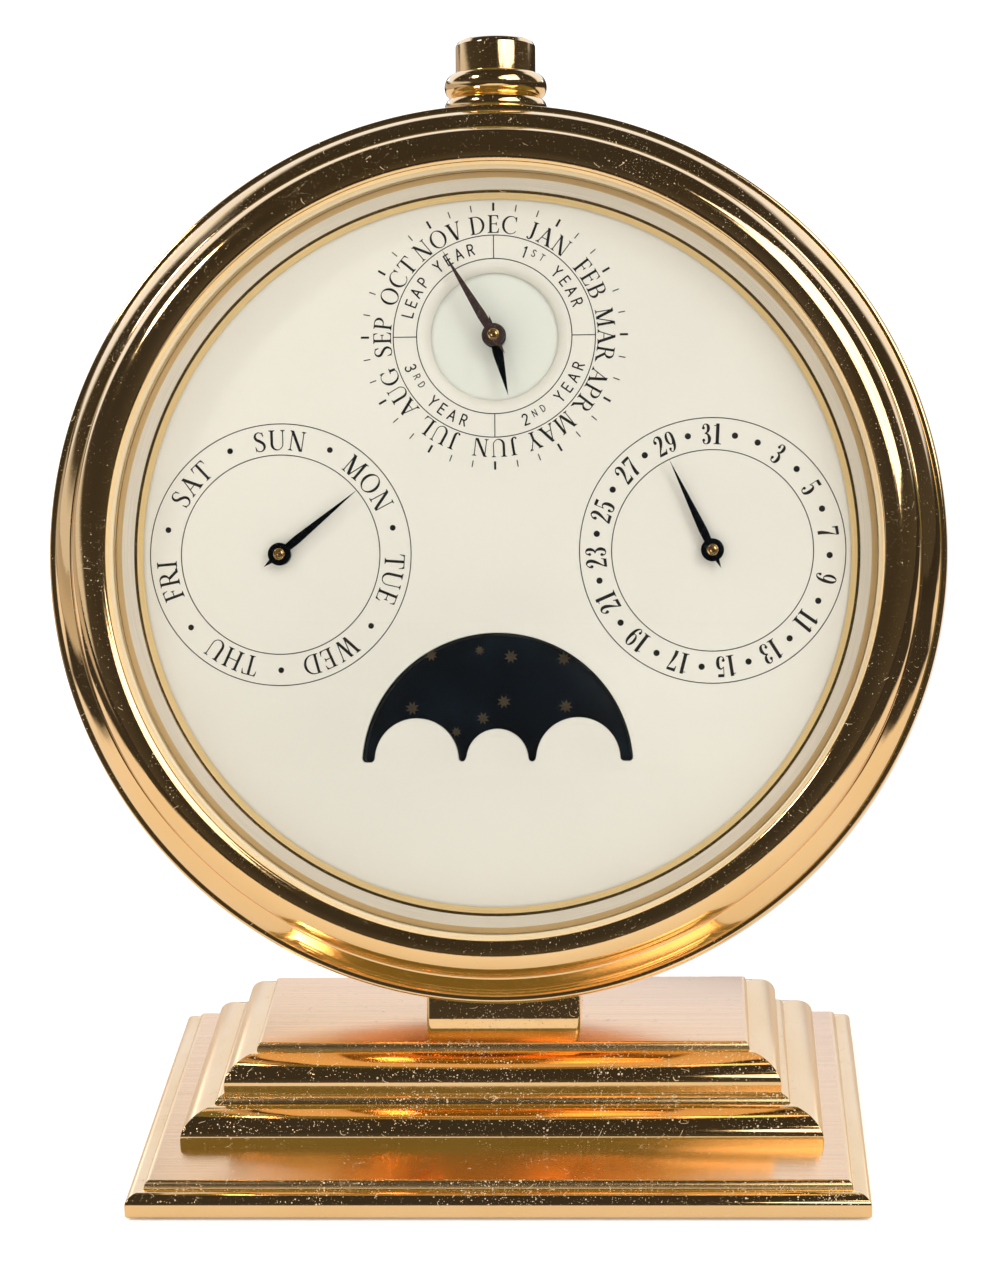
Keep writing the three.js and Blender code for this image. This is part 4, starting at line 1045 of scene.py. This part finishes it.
DIDONE = {
    "1": (0.44, [bx(0.15, 0, 0.31, 1), ("+", [(0.05, 0), (0.41, 0), (0.41, 0.035), (0.33, 0.05), (0.31, 0.10), (0.15, 0.10), (0.13, 0.05), (0.05, 0.035)]), ("+", [(0.16, 1), (0.15, 0.93), (0.04, 0.895), (0.04, 0.865), (0.16, 0.88)])]),
    "2": (
        0.54,
        [
            curve([(0.115, 0.73, 0.13), (0.12, 0.86, 0.06), (0.25, 0.975, 0.05), (0.375, 0.90, 0.13), (0.40, 0.74, 0.155), (0.325, 0.52, 0.13), (0.19, 0.28, 0.07), (0.085, 0.08, 0.05)]),
            ("~", [(0.125, 0.73, 0.15), (0.126, 0.731, 0.15)]),
            ("+", [(0.05, 0), (0.44, 0), (0.49, 0.25), (0.455, 0.25), (0.42, 0.15), (0.30, 0.145), (0.14, 0.13), (0.05, 0.06)]),
        ],
    ),
    "3": (
        0.55,
        [
            curve([(0.13, 0.80, 0.08), (0.15, 0.925, 0.05), (0.255, 0.98, 0.045), (0.355, 0.90, 0.12), (0.375, 0.76, 0.145), (0.33, 0.61, 0.10), (0.22, 0.535, 0.045)]),
            curve([(0.20, 0.53, 0.045), (0.33, 0.475, 0.09), (0.40, 0.29, 0.155), (0.36, 0.10, 0.12), (0.24, 0.02, 0.045), (0.13, 0.07, 0.05), (0.11, 0.18, 0.08)]),
            ("~", [(0.135, 0.79, 0.14), (0.136, 0.791, 0.14)]),
            ("~", [(0.125, 0.205, 0.14), (0.126, 0.206, 0.14)]),
        ],
    ),
    "5": (
        0.55,
        [
            ("+", [(0.115, 1), (0.43, 1), (0.40, 0.85), (0.15, 0.86)]),
            bx(0.115, 0.50, 0.15, 0.95),
            curve([(0.13, 0.52, 0.04), (0.25, 0.61, 0.06), (0.365, 0.52, 0.13), (0.40, 0.31, 0.16), (0.36, 0.10, 0.12), (0.24, 0.02, 0.045), (0.13, 0.07, 0.05), (0.11, 0.18, 0.08)]),
            ("~", [(0.125, 0.205, 0.14), (0.126, 0.206, 0.14)]),
        ],
    ),
    "7": (
        0.50,
        [("+", [(0.05, 1), (0.47, 1), (0.47, 0.87), (0.12, 0.85), (0.085, 0.72), (0.05, 0.72)]), ("+", [(0.47, 0.93), (0.43, 0.88), (0.26, 0.50), (0.17, 0.22), (0.16, 0.0), (0.33, 0.0), (0.33, 0.2), (0.38, 0.55)])],
    ),
    "9": (
        0.55,
        [
            ("+", arc(0.265, 0.675, 0.215, 0.325, 0, 360, 40)[:-1]),
            ("-", arc(0.262, 0.675, 0.085, 0.285, 0, 360, 40)[:-1]),
            curve([(0.415, 0.70, 0.12), (0.41, 0.45, 0.14), (0.355, 0.17, 0.11), (0.24, 0.02, 0.045), (0.14, 0.06, 0.05), (0.12, 0.15, 0.07)]),
            ("~", [(0.135, 0.175, 0.13), (0.136, 0.176, 0.13)]),
        ],
    ),
}

SW = 0.128


def ln(*pts):
    return ("~", [(x, y, SW) for x, y in pts])


def rd(cx, cy, rx, ry, a0, a1, n=14):
    return ("~", [(x, y, SW) for x, y in arc(cx, cy, rx, ry, a0, a1, n)])


SANS = {
    "1": (0.34, [ln((0.09, 0.83), (0.22, 0.96), (0.22, 0.04))]),
    "2": (0.62, [rd(0.31, 0.73, 0.20, 0.23, 165, -38), ln((0.47, 0.59), (0.11, 0.05), (0.53, 0.05))]),
    "3": (0.62, [rd(0.30, 0.74, 0.19, 0.22, 150, -75), rd(0.30, 0.28, 0.22, 0.24, 75, -150), ln((0.25, 0.525), (0.35, 0.525))]),
    "S": (0.60, [("~", smooth_path([(0.50, 0.84, SW), (0.40, 0.945, SW), (0.26, 0.955, SW), (0.13, 0.87, SW), (0.12, 0.70, SW), (0.22, 0.585, SW), (0.36, 0.50, SW), (0.49, 0.39, SW), (0.49, 0.19, SW), (0.37, 0.06, SW), (0.22, 0.045, SW), (0.09, 0.15, SW)], 4))]),
    "T": (0.58, [ln((0.05, 0.955), (0.53, 0.955)), ln((0.29, 0.955), (0.29, 0.045))]),
    "N": (0.72, [ln((0.12, 0.045), (0.12, 0.955), (0.60, 0.045), (0.60, 0.955))]),
    "D": (0.70, [ln((0.30, 0.045), (0.12, 0.045), (0.12, 0.955), (0.30, 0.955)), rd(0.30, 0.5, 0.30, 0.455, -90, 90)]),
    "R": (0.66, [ln((0.12, 0.045), (0.12, 0.955), (0.34, 0.955)), rd(0.34, 0.725, 0.20, 0.23, 90, -90), ln((0.34, 0.495), (0.12, 0.495)), ln((0.34, 0.495), (0.56, 0.045))]),
    "Y": (0.62, [ln((0.06, 0.955), (0.31, 0.48), (0.56, 0.955)), ln((0.31, 0.48), (0.31, 0.045))]),
    "E": (0.60, [ln((0.52, 0.955), (0.12, 0.955), (0.12, 0.045), (0.54, 0.045)), ln((0.12, 0.51), (0.48, 0.51))]),
    "A": (0.66, [ln((0.05, 0.045), (0.33, 0.955), (0.61, 0.045)), ln((0.14, 0.34), (0.52, 0.34))]),
    "L": (0.54, [ln((0.12, 0.955), (0.12, 0.045), (0.50, 0.045))]),
    "P": (0.62, [ln((0.12, 0.045), (0.12, 0.955), (0.34, 0.955)), rd(0.34, 0.705, 0.20, 0.25, 90, -90), ln((0.34, 0.455), (0.12, 0.455))]),
}

FACES = {"serif": SERIF, "didone": DIDONE, "sans": SANS}
glyphs = {}


def glyph(face, ch):
    """(advance, outline loops) at cap height 1."""
    if (face, ch) not in glyphs:
        width, parts = FACES[face][ch]
        h = 0.0125
        xs, ys = np.arange(-0.15, width + 0.2, h), np.arange(-0.15, 1.15, h)
        X, Y = np.meshgrid(xs, ys)
        F = np.full(X.shape, 1e9)
        for op, pts in parts:
            d = path_distance(pts, X, Y) if op == "~" else poly_distance(pts, X, Y)
            F = np.maximum(F, -d) if op == "-" else np.minimum(F, d)
        glyphs[face, ch] = (width, contours(F, xs[0], ys[0], h, 0.0022))
    return glyphs[face, ch]


PRINT_TOP, PRINT_BOTTOM = DIAL_D - 0.016, DIAL_D + 0.006


def set_text(soup, text, face, centre, angle, radius, cap, outward=True, track=0.06, small=None, gap=0.42, wide=1.0):
    """Sets a word round a dial, each letter upright on the circle. angle is clockwise from the top, in degrees.
    small is the set of places in text that are set small and high."""
    small = small or set()
    mid = radius + (0.45 * cap if outward else -0.45 * cap)
    sizes = [0.62 * cap if i in small else cap for i in range(len(text))]
    widths = [(gap if c == " " else glyph(face, c)[0]) * s * wide + track * cap for c, s in zip(text, sizes)]
    at = -sum(widths) / 2
    for i, (c, s, w) in enumerate(zip(text, sizes, widths)):
        if c != " ":
            a = math.radians(angle) + (at + w / 2) / mid * (1 if outward else -1)
            up = np.array([math.sin(a), math.cos(a)]) * (1 if outward else -1)
            right = np.array([math.cos(a), -math.sin(a)]) * (1 if outward else -1)
            origin = np.array(centre) + radius * np.array([math.sin(a), math.cos(a)])
            lift = cap - s if i in small else 0.0
            adv, loops = glyph(face, c)
            placed = [[tuple(origin + right * ((x - adv / 2) * s * wide) + up * (y * s + lift)) for x, y in l] for l in loops]
            soup.add(*slab_of(placed, PRINT_TOP, PRINT_BOTTOM))
        at += w


def print_ring(soup, centre, r, w, n=160):
    v, f, _ = lathe([(r - w / 2, PRINT_TOP), (r + w / 2, PRINT_TOP), (r + w / 2, PRINT_BOTTOM), (r - w / 2, PRINT_BOTTOM)], n, centre)
    soup.add(v, f)


def print_bar(soup, centre, angle, r0, r1, w):
    a = math.radians(angle)
    u, s = np.array([math.sin(a), math.cos(a)]), np.array([math.cos(a), -math.sin(a)])
    c = np.array(centre)
    soup.add(*slab_of([[tuple(c + u * r0 - s * w / 2), tuple(c + u * r0 + s * w / 2), tuple(c + u * r1 + s * w / 2), tuple(c + u * r1 - s * w / 2)]], PRINT_TOP, PRINT_BOTTOM))


def print_dot(soup, centre, angle, r, size):
    a = math.radians(angle)
    cx, cz = centre[0] + r * math.sin(a), centre[1] + r * math.cos(a)
    soup.add(*slab_of([[(cx + size * math.sin(2 * math.pi * k / 28), cz + size * math.cos(2 * math.pi * k / 28)) for k in range(28)][::-1]], PRINT_TOP, PRINT_BOTTOM))


LINE = 0.135
week = Soup()
print_ring(week, DAY, 18.04, LINE, 200)
print_ring(week, DAY, 13.74, LINE)
for i, name in enumerate("SUN MON TUE WED THU FRI SAT".split()):
    set_text(week, name, "serif", DAY, i * 360 / 7, 14.42, 2.76, track=0.06, wide=1.06)
    print_dot(week, DAY, (i + 0.5) * 360 / 7, 15.93, 0.40)
build("weekday_printing", week.v, week.f, "case", [M["ink"]])

days = Soup()
print_ring(days, DATE, 18.2, LINE, 200)
print_ring(days, DATE, 13.8, LINE)
for n in range(1, 32):
    if n == 1 or n % 2 == 0:
        print_dot(days, DATE, n * 360 / 31, 16.0, 0.43)
    else:
        set_text(days, str(n), "didone", DATE, n * 360 / 31, 14.55, 2.86, track=0.015)
build("date_printing", days.v, days.f, "case", [M["ink"]])

months = Soup()
print_ring(months, MONTH, 13.93, LINE)
print_ring(months, MONTH, 10.70, LINE)
for q in range(4):
    print_bar(months, MONTH, 90 * q, 10.70, 13.93, LINE)
for i, name in enumerate("DEC JAN FEB MAR APR MAY JUN JUL AUG SEP OCT NOV".split()):
    set_text(months, name, "serif", MONTH, 30 * i, 14.22, 2.46, track=0.05, wide=1.10)
for k in range(36):
    bold = k % 3 == 0
    print_bar(months, MONTH, 10 * k, 17.27 if bold else 17.37, 18.4 if bold else 18.3, 0.30 if bold else 0.15)
set_text(months, "LEAP YEAR", "sans", MONTH, -45, 11.50, 1.62, track=0.40)
set_text(months, "1ST YEAR", "sans", MONTH, 45, 11.50, 1.62, track=0.40, small={1, 2})
set_text(months, "2ND YEAR", "sans", MONTH, 135, 13.12, 1.62, False, track=0.40, small={1, 2})
set_text(months, "3RD YEAR", "sans", MONTH, 225, 13.12, 1.62, False, track=0.40, small={1, 2})
build("month_printing", months.v, months.f, "case", [M["ink"]])


# ---------------------------------------------------------------- dial plate with its moon window
def circle(cx, cz, r, n, ccw=True):
    pts = [(cx + r * math.cos(2 * math.pi * k / n), cz + r * math.sin(2 * math.pi * k / n)) for k in range(n)]
    return pts if ccw else pts[::-1]


h = 0.12
gx, gz = np.arange(-22, 22 + h, h), np.arange(-33, -7, h)
GX, GZ = np.meshgrid(gx, gz)
mz = MOON[1] + 1.24
win = np.hypot(GX, GZ - MOON[1]) - 18.67
for cx, r in ((-11.1, 5.77), (11.1, 5.77), (0.0, 4.26)):
    win = np.maximum(win, r - np.hypot(GX - cx, GZ - MOON[1] - 1.24))
win = np.maximum(win, mz - 0.25 - GZ)
sharp_window = contours(win, gx[0], gz[0], h, 0.004)
sharp_window = max(sharp_window, key=len)
small = contours(poly_distance(sharp_window, GX, GZ) + 0.50, gx[0], gz[0], h, 0.004)
small = max(small, key=len)
around = poly_distance(small, GX, GZ)
WINDOW = max(contours(around - 0.50, gx[0], gz[0], h, 0.006), key=len)
BORDER = max(contours(around - 1.80, gx[0], gz[0], h, 0.006), key=len)


def shifted(loop, d):
    """The loop moved outwards by d, corner by corner. The loop runs counter-clockwise."""
    P = np.array(loop)
    a, b = P - np.roll(P, 1, 0), np.roll(P, -1, 0) - P
    na = np.stack([a[:, 1], -a[:, 0]], -1) / np.maximum(np.hypot(a[:, 0], a[:, 1]), 1e-9)[:, None]
    nb = np.stack([b[:, 1], -b[:, 0]], -1) / np.maximum(np.hypot(b[:, 0], b[:, 1]), 1e-9)[:, None]
    n = na + nb
    n /= np.maximum(np.hypot(n[:, 0], n[:, 1]), 1e-9)[:, None]
    return [tuple(p) for p in P + n * d]


dial = Soup()


def band(loop_a, d_a, loop_b, d_b):
    """Faces between two loops with the same number of points."""
    n = len(loop_a)
    verts = [(x, d_a, z) for x, z in loop_a] + [(x, d_b, z) for x, z in loop_b]
    dial.add(verts, [[i, (i + 1) % n, n + (i + 1) % n, n + i] for i in range(n)])


def sheet(loops, d):
    flat = [p for l in loops for p in l]
    tris = tessellate_polygon([[Vector((p[0], p[1], 0)) for p in l] for l in loops])
    dial.add([(x, d, z) for x, z in flat], [list(t) for t in tris])


DIAL_BACK = 2.2
rim = circle(0, 0, 52.0, 256)
hole_l, hole_r = circle(*DAY, 1.5, 48), circle(*DATE, 1.5, 48)
bevel = [(10.46, 1.2), (10.2, 1.215), (9.9, 1.29), (9.6, 1.42), (9.3, 1.6), (9.05, 1.82), (8.9, 2.02), (8.82, 2.2)]
month_loops = [circle(*MONTH, r, 144) for r, _ in bevel]
border_in = shifted(BORDER, -0.13)
lift = 0.05
sheet([rim, hole_l, hole_r, month_loops[0], BORDER], DIAL_D)
band(BORDER, DIAL_D, border_in, DIAL_D - lift)
win_out = shifted(WINDOW, 0.07)
sheet([border_in, win_out], DIAL_D - lift)
band(win_out, DIAL_D - lift, WINDOW, DIAL_D + 0.04)
band(WINDOW, DIAL_D + 0.04, WINDOW, DIAL_BACK)
for (r0, d0), (r1, d1), l0, l1 in zip(bevel[:-1], bevel[1:], month_loops[:-1], month_loops[1:]):
    band(l0, d0, l1, d1)
band(hole_l, DIAL_D, hole_l, DIAL_BACK)
band(hole_r, DIAL_D, hole_r, DIAL_BACK)
band(rim, DIAL_D, rim, DIAL_BACK)
sheet([rim, hole_l, hole_r, month_loops[-1], WINDOW], DIAL_BACK)
dial_ob = build("dial_plate_lacquered", dial.v, dial.f, "case", [M["dial"]], None, ["dial_plate"], 28.0)
bm = bmesh.new()
bm.from_mesh(dial_ob.data)
bmesh.ops.remove_doubles(bm, verts=bm.verts, dist=1e-6)
bmesh.ops.recalc_face_normals(bm, faces=bm.faces)
bm.to_mesh(dial_ob.data)
bm.free()
dial_ob.data.set_sharp_from_angle(angle=math.radians(28))

DISC = fillet([(1.56, 2.5, 0.03), (9.6, 2.5, 0.1), (9.6, 3.1), (1.56, 3.1)], seg=3)
turned("month_center_disc_turned", DISC, "case", M["disc"], n=144, centre=MONTH, hides=["month_center_disc"])


# ---------------------------------------------------------------- hands
def spear(length, half_neck, half_wide, wide_at, start, top, bottom, ridge, n=26):
    """A tapering blade along +z with a low ridge: closed body."""
    rows = []
    for k in range(n + 1):
        t = k / n
        y = start + (length - start) * t
        w = half_neck + (half_wide - half_neck) * math.sin(min(1.0, (y - start) / max(wide_at - start, 1e-6)) * math.pi / 2)
        if y > wide_at:
            w = half_wide * (1 - (y - wide_at) / (length - wide_at)) ** 0.94
        rows.append((y, max(w, 0.012)))
    verts, faces = [], []
    for y, w in rows:
        e = min(0.06, w * 0.35)
        rz = ridge * min(1.0, w / half_wide)
        verts += [(-w, bottom, y), (-w, top + 0.06, y), (-w + e, top + 0.0, y), (0, top - rz, y), (w - e, top + 0.0, y), (w, top + 0.06, y), (w, bottom, y)]
    m = 7
    for i in range(len(rows) - 1):
        for k in range(m):
            faces.append([i * m + k, i * m + (k + 1) % m, (i + 1) * m + (k + 1) % m, (i + 1) * m + k])
    faces.append(list(range(m)))
    faces.append([(len(rows) - 1) * m + k for k in range(m)][::-1])
    return verts, faces


def make_pointer(name, centre, angle, length, tail, hub, half_wide, top, bottom, body, mat, hides, wide_at=3.2, tail_wide=0.46):
    s = Soup()
    s.add(*spear(length, half_wide * 0.80, half_wide, wide_at, 0.6, top, bottom, 0.05))
    v, f = spear(tail, tail_wide, tail_wide * 0.97, 0.75, 0.5, top, bottom, 0.05, 14)
    s.add([(-x, d, -z) for x, d, z in v], f)
    v, f, _ = lathe(fillet([(0.72, top - 0.02, 0.04), (hub, top - 0.02, 0.09), (hub, bottom, 0.04), (0.72, bottom, 0.02)], seg=4), 64)
    s.add(v, f)
    a = math.radians(angle)
    turned_v = [(centre[0] + x * math.cos(a) + z * math.sin(a), d, centre[1] - x * math.sin(a) + z * math.cos(a)) for x, d, z in s.v]
    build(name, turned_v, s.f, body, [mat], None, hides, 22.0)


make_pointer("day_hand_spear", DAY, 51.0, 13.65, 2.75, 1.58, 0.58, -0.45, -0.05, "day_hand_group", M["blue"], ["day_hand"])
make_pointer("date_hand_spear", DATE, -25.0, 13.65, 2.75, 1.58, 0.58, -0.45, -0.05, "date_hand_group", M["blue"], ["date_hand"])
make_pointer("month_hand_spear", MONTH, -30.8, 13.65, 3.0, 1.58, 0.64, -0.95, -0.55, "month_hand_group", M["brown"], ["month_hand"])
make_pointer("year_hand_spear", MONTH, 167.0, 8.5, 2.9, 1.68, 0.72, 0.15, 0.5, "leap_year_group", M["blue"], ["year_hand"], wide_at=2.6, tail_wide=0.42)


def pivot(name, centre, top, body):
    prof = [(0.0, top - 0.02)] + fillet([(0.20, top - 0.02), (0.22, top - 0.14, 0.03), (0.36, top - 0.16, 0.05), (0.50, top - 0.13, 0.05), (0.56, top - 0.06, 0.02), (0.62, top - 0.06, 0.02), (0.70, top - 0.12, 0.05), (0.80, top - 0.06, 0.05), (0.80, top + 0.16, 0.02)], closed=False, seg=4) + [(0.0, top + 0.16)]
    turned(name, prof, body, M["gold_button"], n=48, centre=centre)


pivot("day_pivot_end", DAY, -0.62, "day_hand_group")
pivot("date_pivot_end", DATE, -0.62, "date_hand_group")
pivot("month_pivot_end", MONTH, -1.12, "month_hand_group")

# ---------------------------------------------------------------- moon disc
MOON_TOP = 2.6
NIGHT = fillet([(0.0, MOON_TOP), (19.3, MOON_TOP, 0.08), (19.3, 3.3, 0.04), (0.9, 3.3), (0.0, 3.3)], closed=False, seg=3)
turned("moon_disc_lacquered", NIGHT, "moon_group", M["night"], n=192, centre=MOON, hides=["moon_disc"])


def star(cx, cz, r, spin, top):
    pts = []
    for k in range(16):
        a = math.radians(spin + 22.5 * k)
        q = r if k % 2 == 0 else 0.52 * r
        pts.append((cx + q * math.sin(a), cz + q * math.cos(a)))
    return slab_of([pts[::-1]], top, MOON_TOP + 0.01)


rng = random.Random(11)
stars = Soup()
upper = [(-9.1, 15.7, 0.9), (1.9, 15.4, 1.0), (9.2, 15.1, 1.0), (-11.75, 8.4, 1.0), (0.9, 9.2, 0.98), (-2.0, 6.95, 0.92), (9.4, 8.5, 0.98), (-5.7, 5.1, 0.75), (-2.4, 16.3, 0.72)]
for x, z, r in upper + [(-x + 0.7, -z + 0.3, r) for x, z, r in upper[:7]]:
    stars.add(*star(MOON[0] + x, MOON[1] + z, r, rng.uniform(0, 45), MOON_TOP - 0.012))
build("moon_disc_stars", stars.v, stars.f, "moon_group", [M["star"]])

moons = Soup()
for side in (-1, 1):
    v, f, _ = lathe([(0.0, MOON_TOP - 0.03), (4.6, MOON_TOP - 0.03), (4.85, MOON_TOP - 0.012), (4.9, MOON_TOP + 0.01), (0.0, MOON_TOP + 0.01)], 96, (MOON[0] + side * 11.2, MOON[1]), closed=False)
    moons.add(v, f)
build("moon_disc_moons", moons.v, moons.f, "moon_group", [M["moon"]])

# ---------------------------------------------------------------- camera
YAW, DOWN, ROLL = math.radians(3.21), math.radians(16.41), math.radians(-1.41)
fwd = Vector((-math.sin(YAW) * math.cos(DOWN), math.cos(YAW) * math.cos(DOWN), -math.sin(DOWN)))
right = Vector((math.cos(YAW), math.sin(YAW), 0.0))
up = right.cross(fwd)
cr = math.cos(ROLL) * right + math.sin(ROLL) * up
cu = -math.sin(ROLL) * right + math.cos(ROLL) * up
cam = bpy.data.objects.new("camera", bpy.data.cameras.new("camera"))
cam.matrix_world = Matrix(((cr.x, cu.x, -fwd.x, 0.0263), (cr.y, cu.y, -fwd.y, -0.4576), (cr.z, cu.z, -fwd.z, 0.2075), (0, 0, 0, 1)))
cam.data.lens = 99.526
cam.data.sensor_width = 36.0
cam.data.sensor_fit = "AUTO"
cam.data.clip_start = 0.02
cam.data.clip_end = 50
bpy.context.scene.collection.objects.link(cam)
bpy.context.scene.camera = cam

# ---------------------------------------------------------------- studio
view = bpy.context.scene.view_settings
view.view_transform = "Standard"
view.look = "None"
view.exposure = 0.0

world = bpy.data.worlds.new("studio")
bpy.context.scene.world = world
world.use_nodes = True
world.cycles.sampling_method = "NONE"
t = Tree(world.node_tree)
co = t.node("ShaderNodeTexCoord")
s = t.node("ShaderNodeSeparateXYZ", {"Vector": co.outputs["Generated"]})
dx, dy, dz = s.outputs[0], s.outputs[1], s.outputs[2]
flat = t.math("SQRT", t.math("MAXIMUM", t.math("SUBTRACT", 1.0, t.math("MULTIPLY", dz, dz)), 0.0001))
behind = t.math("DIVIDE", dy, flat)
card = t.math("MULTIPLY", t.step(behind, 0.36, 0.52), t.step(dz, 0.62, 0.74, 1.0, 0.0))
card = t.math("MULTIPLY", card, t.step(dz, 0.02, 0.12))
left = t.math("MULTIPLY", t.step(t.math("MULTIPLY", dx, -1.0), 0.78, 0.9), t.step(dz, 0.10, 0.22, 1.0, 0.0))
front = t.step(dz, 0.0, 0.5, 1.0, 0.45)
dark = t.mix(front, (0.020, 0.019, 0.017, 1), (0.074, 0.069, 0.061, 1))
lp = t.node("ShaderNodeLightPath")
again = t.step(lp.outputs["Ray Depth"], 2.4, 2.6, smooth=False)
dark = t.mix(again, dark, (0.21, 0.26, 0.14, 1))
gloss = t.mix(card, t.mix(left, dark, (0.72, 0.76, 0.86, 1)), (1.02, 1.19, 1.60, 1))
low = t.step(t.vec("DOT_PRODUCT", co.outputs["Generated"], (0.330, -0.770, 0.545)), 0.984, 0.988)
gloss = t.mix(low, gloss, (3.0, 2.94, 2.85, 1))
light = t.mix(lp.outputs["Is Diffuse Ray"], gloss, (1.175, 1.155, 1.145, 1))
light = t.mix(lp.outputs["Is Camera Ray"], light, (1.0, 1.0, 1.0, 1))
bg = t.node("ShaderNodeBackground", {"Color": light, "Strength": 1.0})
t.node("ShaderNodeOutputWorld", {"Surface": bg.outputs[0]})


def look_at(ob, target):
    d = Vector(target) - ob.location
    ob.rotation_euler = d.to_track_quat("-Z", "Y").to_euler()


def area(name, direction, dist, size, radiance, colour=(1, 1, 1), target=(0, 0, 0.085), disk=False):
    ld = bpy.data.lights.new(name, "AREA")
    if disk:
        ld.shape, ld.size = "DISK", size[0]
        a = math.pi * (size[0] / 2) ** 2
    else:
        ld.shape, ld.size, ld.size_y = "RECTANGLE", size[0], size[1]
        a = size[0] * size[1]
    ld.energy = radiance * math.pi * a
    ld.color = colour
    ob = bpy.data.objects.new(name, ld)
    ob.location = Vector(target) + Vector(direction).normalized() * dist
    look_at(ob, target)
    ob.visible_camera = False
    bpy.context.scene.collection.objects.link(ob)
    return ob


area("softbox", (0.583, -0.5345, 0.6119), 1.25, (0.72, 0.72), 3.0, (0.93, 0.97, 1.0))
area("flash", (-0.627, -0.385, 0.677), 1.15, (0.24, 0.24), 26.0, (1.0, 0.98, 0.95), disk=True)
area("kicker_right", (0.5957, 0.7967, 0.0997), 1.3, (0.07, 0.07), 14.0, disk=True)
area("kicker_left", (-0.51, 0.85, 0.14), 1.3, (0.07, 0.07), 14.0, disk=True)

floor_mesh = bpy.data.meshes.new("floor")
floor_mesh.from_pydata([(-9, -9, 0), (9, -9, 0), (9, 9, 0), (-9, 9, 0)], [], [(0, 1, 2, 3)])
floor = bpy.data.objects.new("floor", floor_mesh)
floor.location = (0, 0, -0.00003)
bpy.context.scene.collection.objects.link(floor)
fm, t = new_material("floor_paper")
g = t.node("ShaderNodeNewGeometry")
s = t.node("ShaderNodeSeparateXYZ", {"Vector": g.outputs["Position"]})
n = t.noise(g.outputs["Position"], 14.0, 3.0).outputs["Fac"]
wob = t.math("MULTIPLY", t.math("SUBTRACT", n, 0.5), 0.10)
ax = t.math("ADD", t.math("ABSOLUTE", s.outputs[0]), wob)
side = t.step(ax, 0.19, 0.23, 1.0, 0.0)
ahead = t.step(t.math("ADD", s.outputs[1], wob), -0.85, -0.75)
broad = t.step(ax, 0.36, 0.46, 1.0, 0.0)
back = t.math("MULTIPLY", t.math("MULTIPLY", t.step(s.outputs[1], 0.10, 0.14), broad), t.step(t.math("ADD", s.outputs[1], wob), 0.48, 0.62, 1.0, 0.0))
far_left = t.math("MULTIPLY", t.step(s.outputs[0], -0.50, -0.38, 0.6, 0.0), t.step(s.outputs[1], -0.3, -0.2))
near = t.math("MULTIPLY", side, t.math("MULTIPLY", ahead, t.step(s.outputs[1], 0.48, 0.62, 1.0, 0.0)))
paper = t.math("MAXIMUM", t.math("MAXIMUM", near, back), far_left)
lp = t.node("ShaderNodeLightPath")
hide = t.math("MULTIPLY", lp.outputs["Is Glossy Ray"], t.math("SUBTRACT", 1.0, paper))
again = t.step(lp.outputs["Ray Depth"], 2.4, 2.6, smooth=False)
col = t.mix(lp.outputs["Is Glossy Ray"], (0.95, 0.95, 0.945, 1), t.mix(again, (0.56, 0.54, 0.52, 1), (0.64, 0.70, 0.50, 1)))
col = t.mix(hide, col, (0.03, 0.028, 0.025, 1))
diff = t.node("ShaderNodeBsdfDiffuse", {"Color": col})
glow = t.node("ShaderNodeEmission", {"Color": (1, 1, 1, 1), "Strength": t.math("MULTIPLY", t.math("SUBTRACT", 1.0, hide), 0.12)})
both = t.node("ShaderNodeAddShader", {0: diff.outputs[0], 1: glow.outputs[0]})
t.node("ShaderNodeOutputMaterial", {"Surface": both.outputs[0]})
floor_mesh.materials.append(fm)
floor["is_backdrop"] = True

# ---------------------------------------------------------------- sizes, and the end
[[[float(c) for c in p] for p in b] for b in (cad_box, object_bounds())]
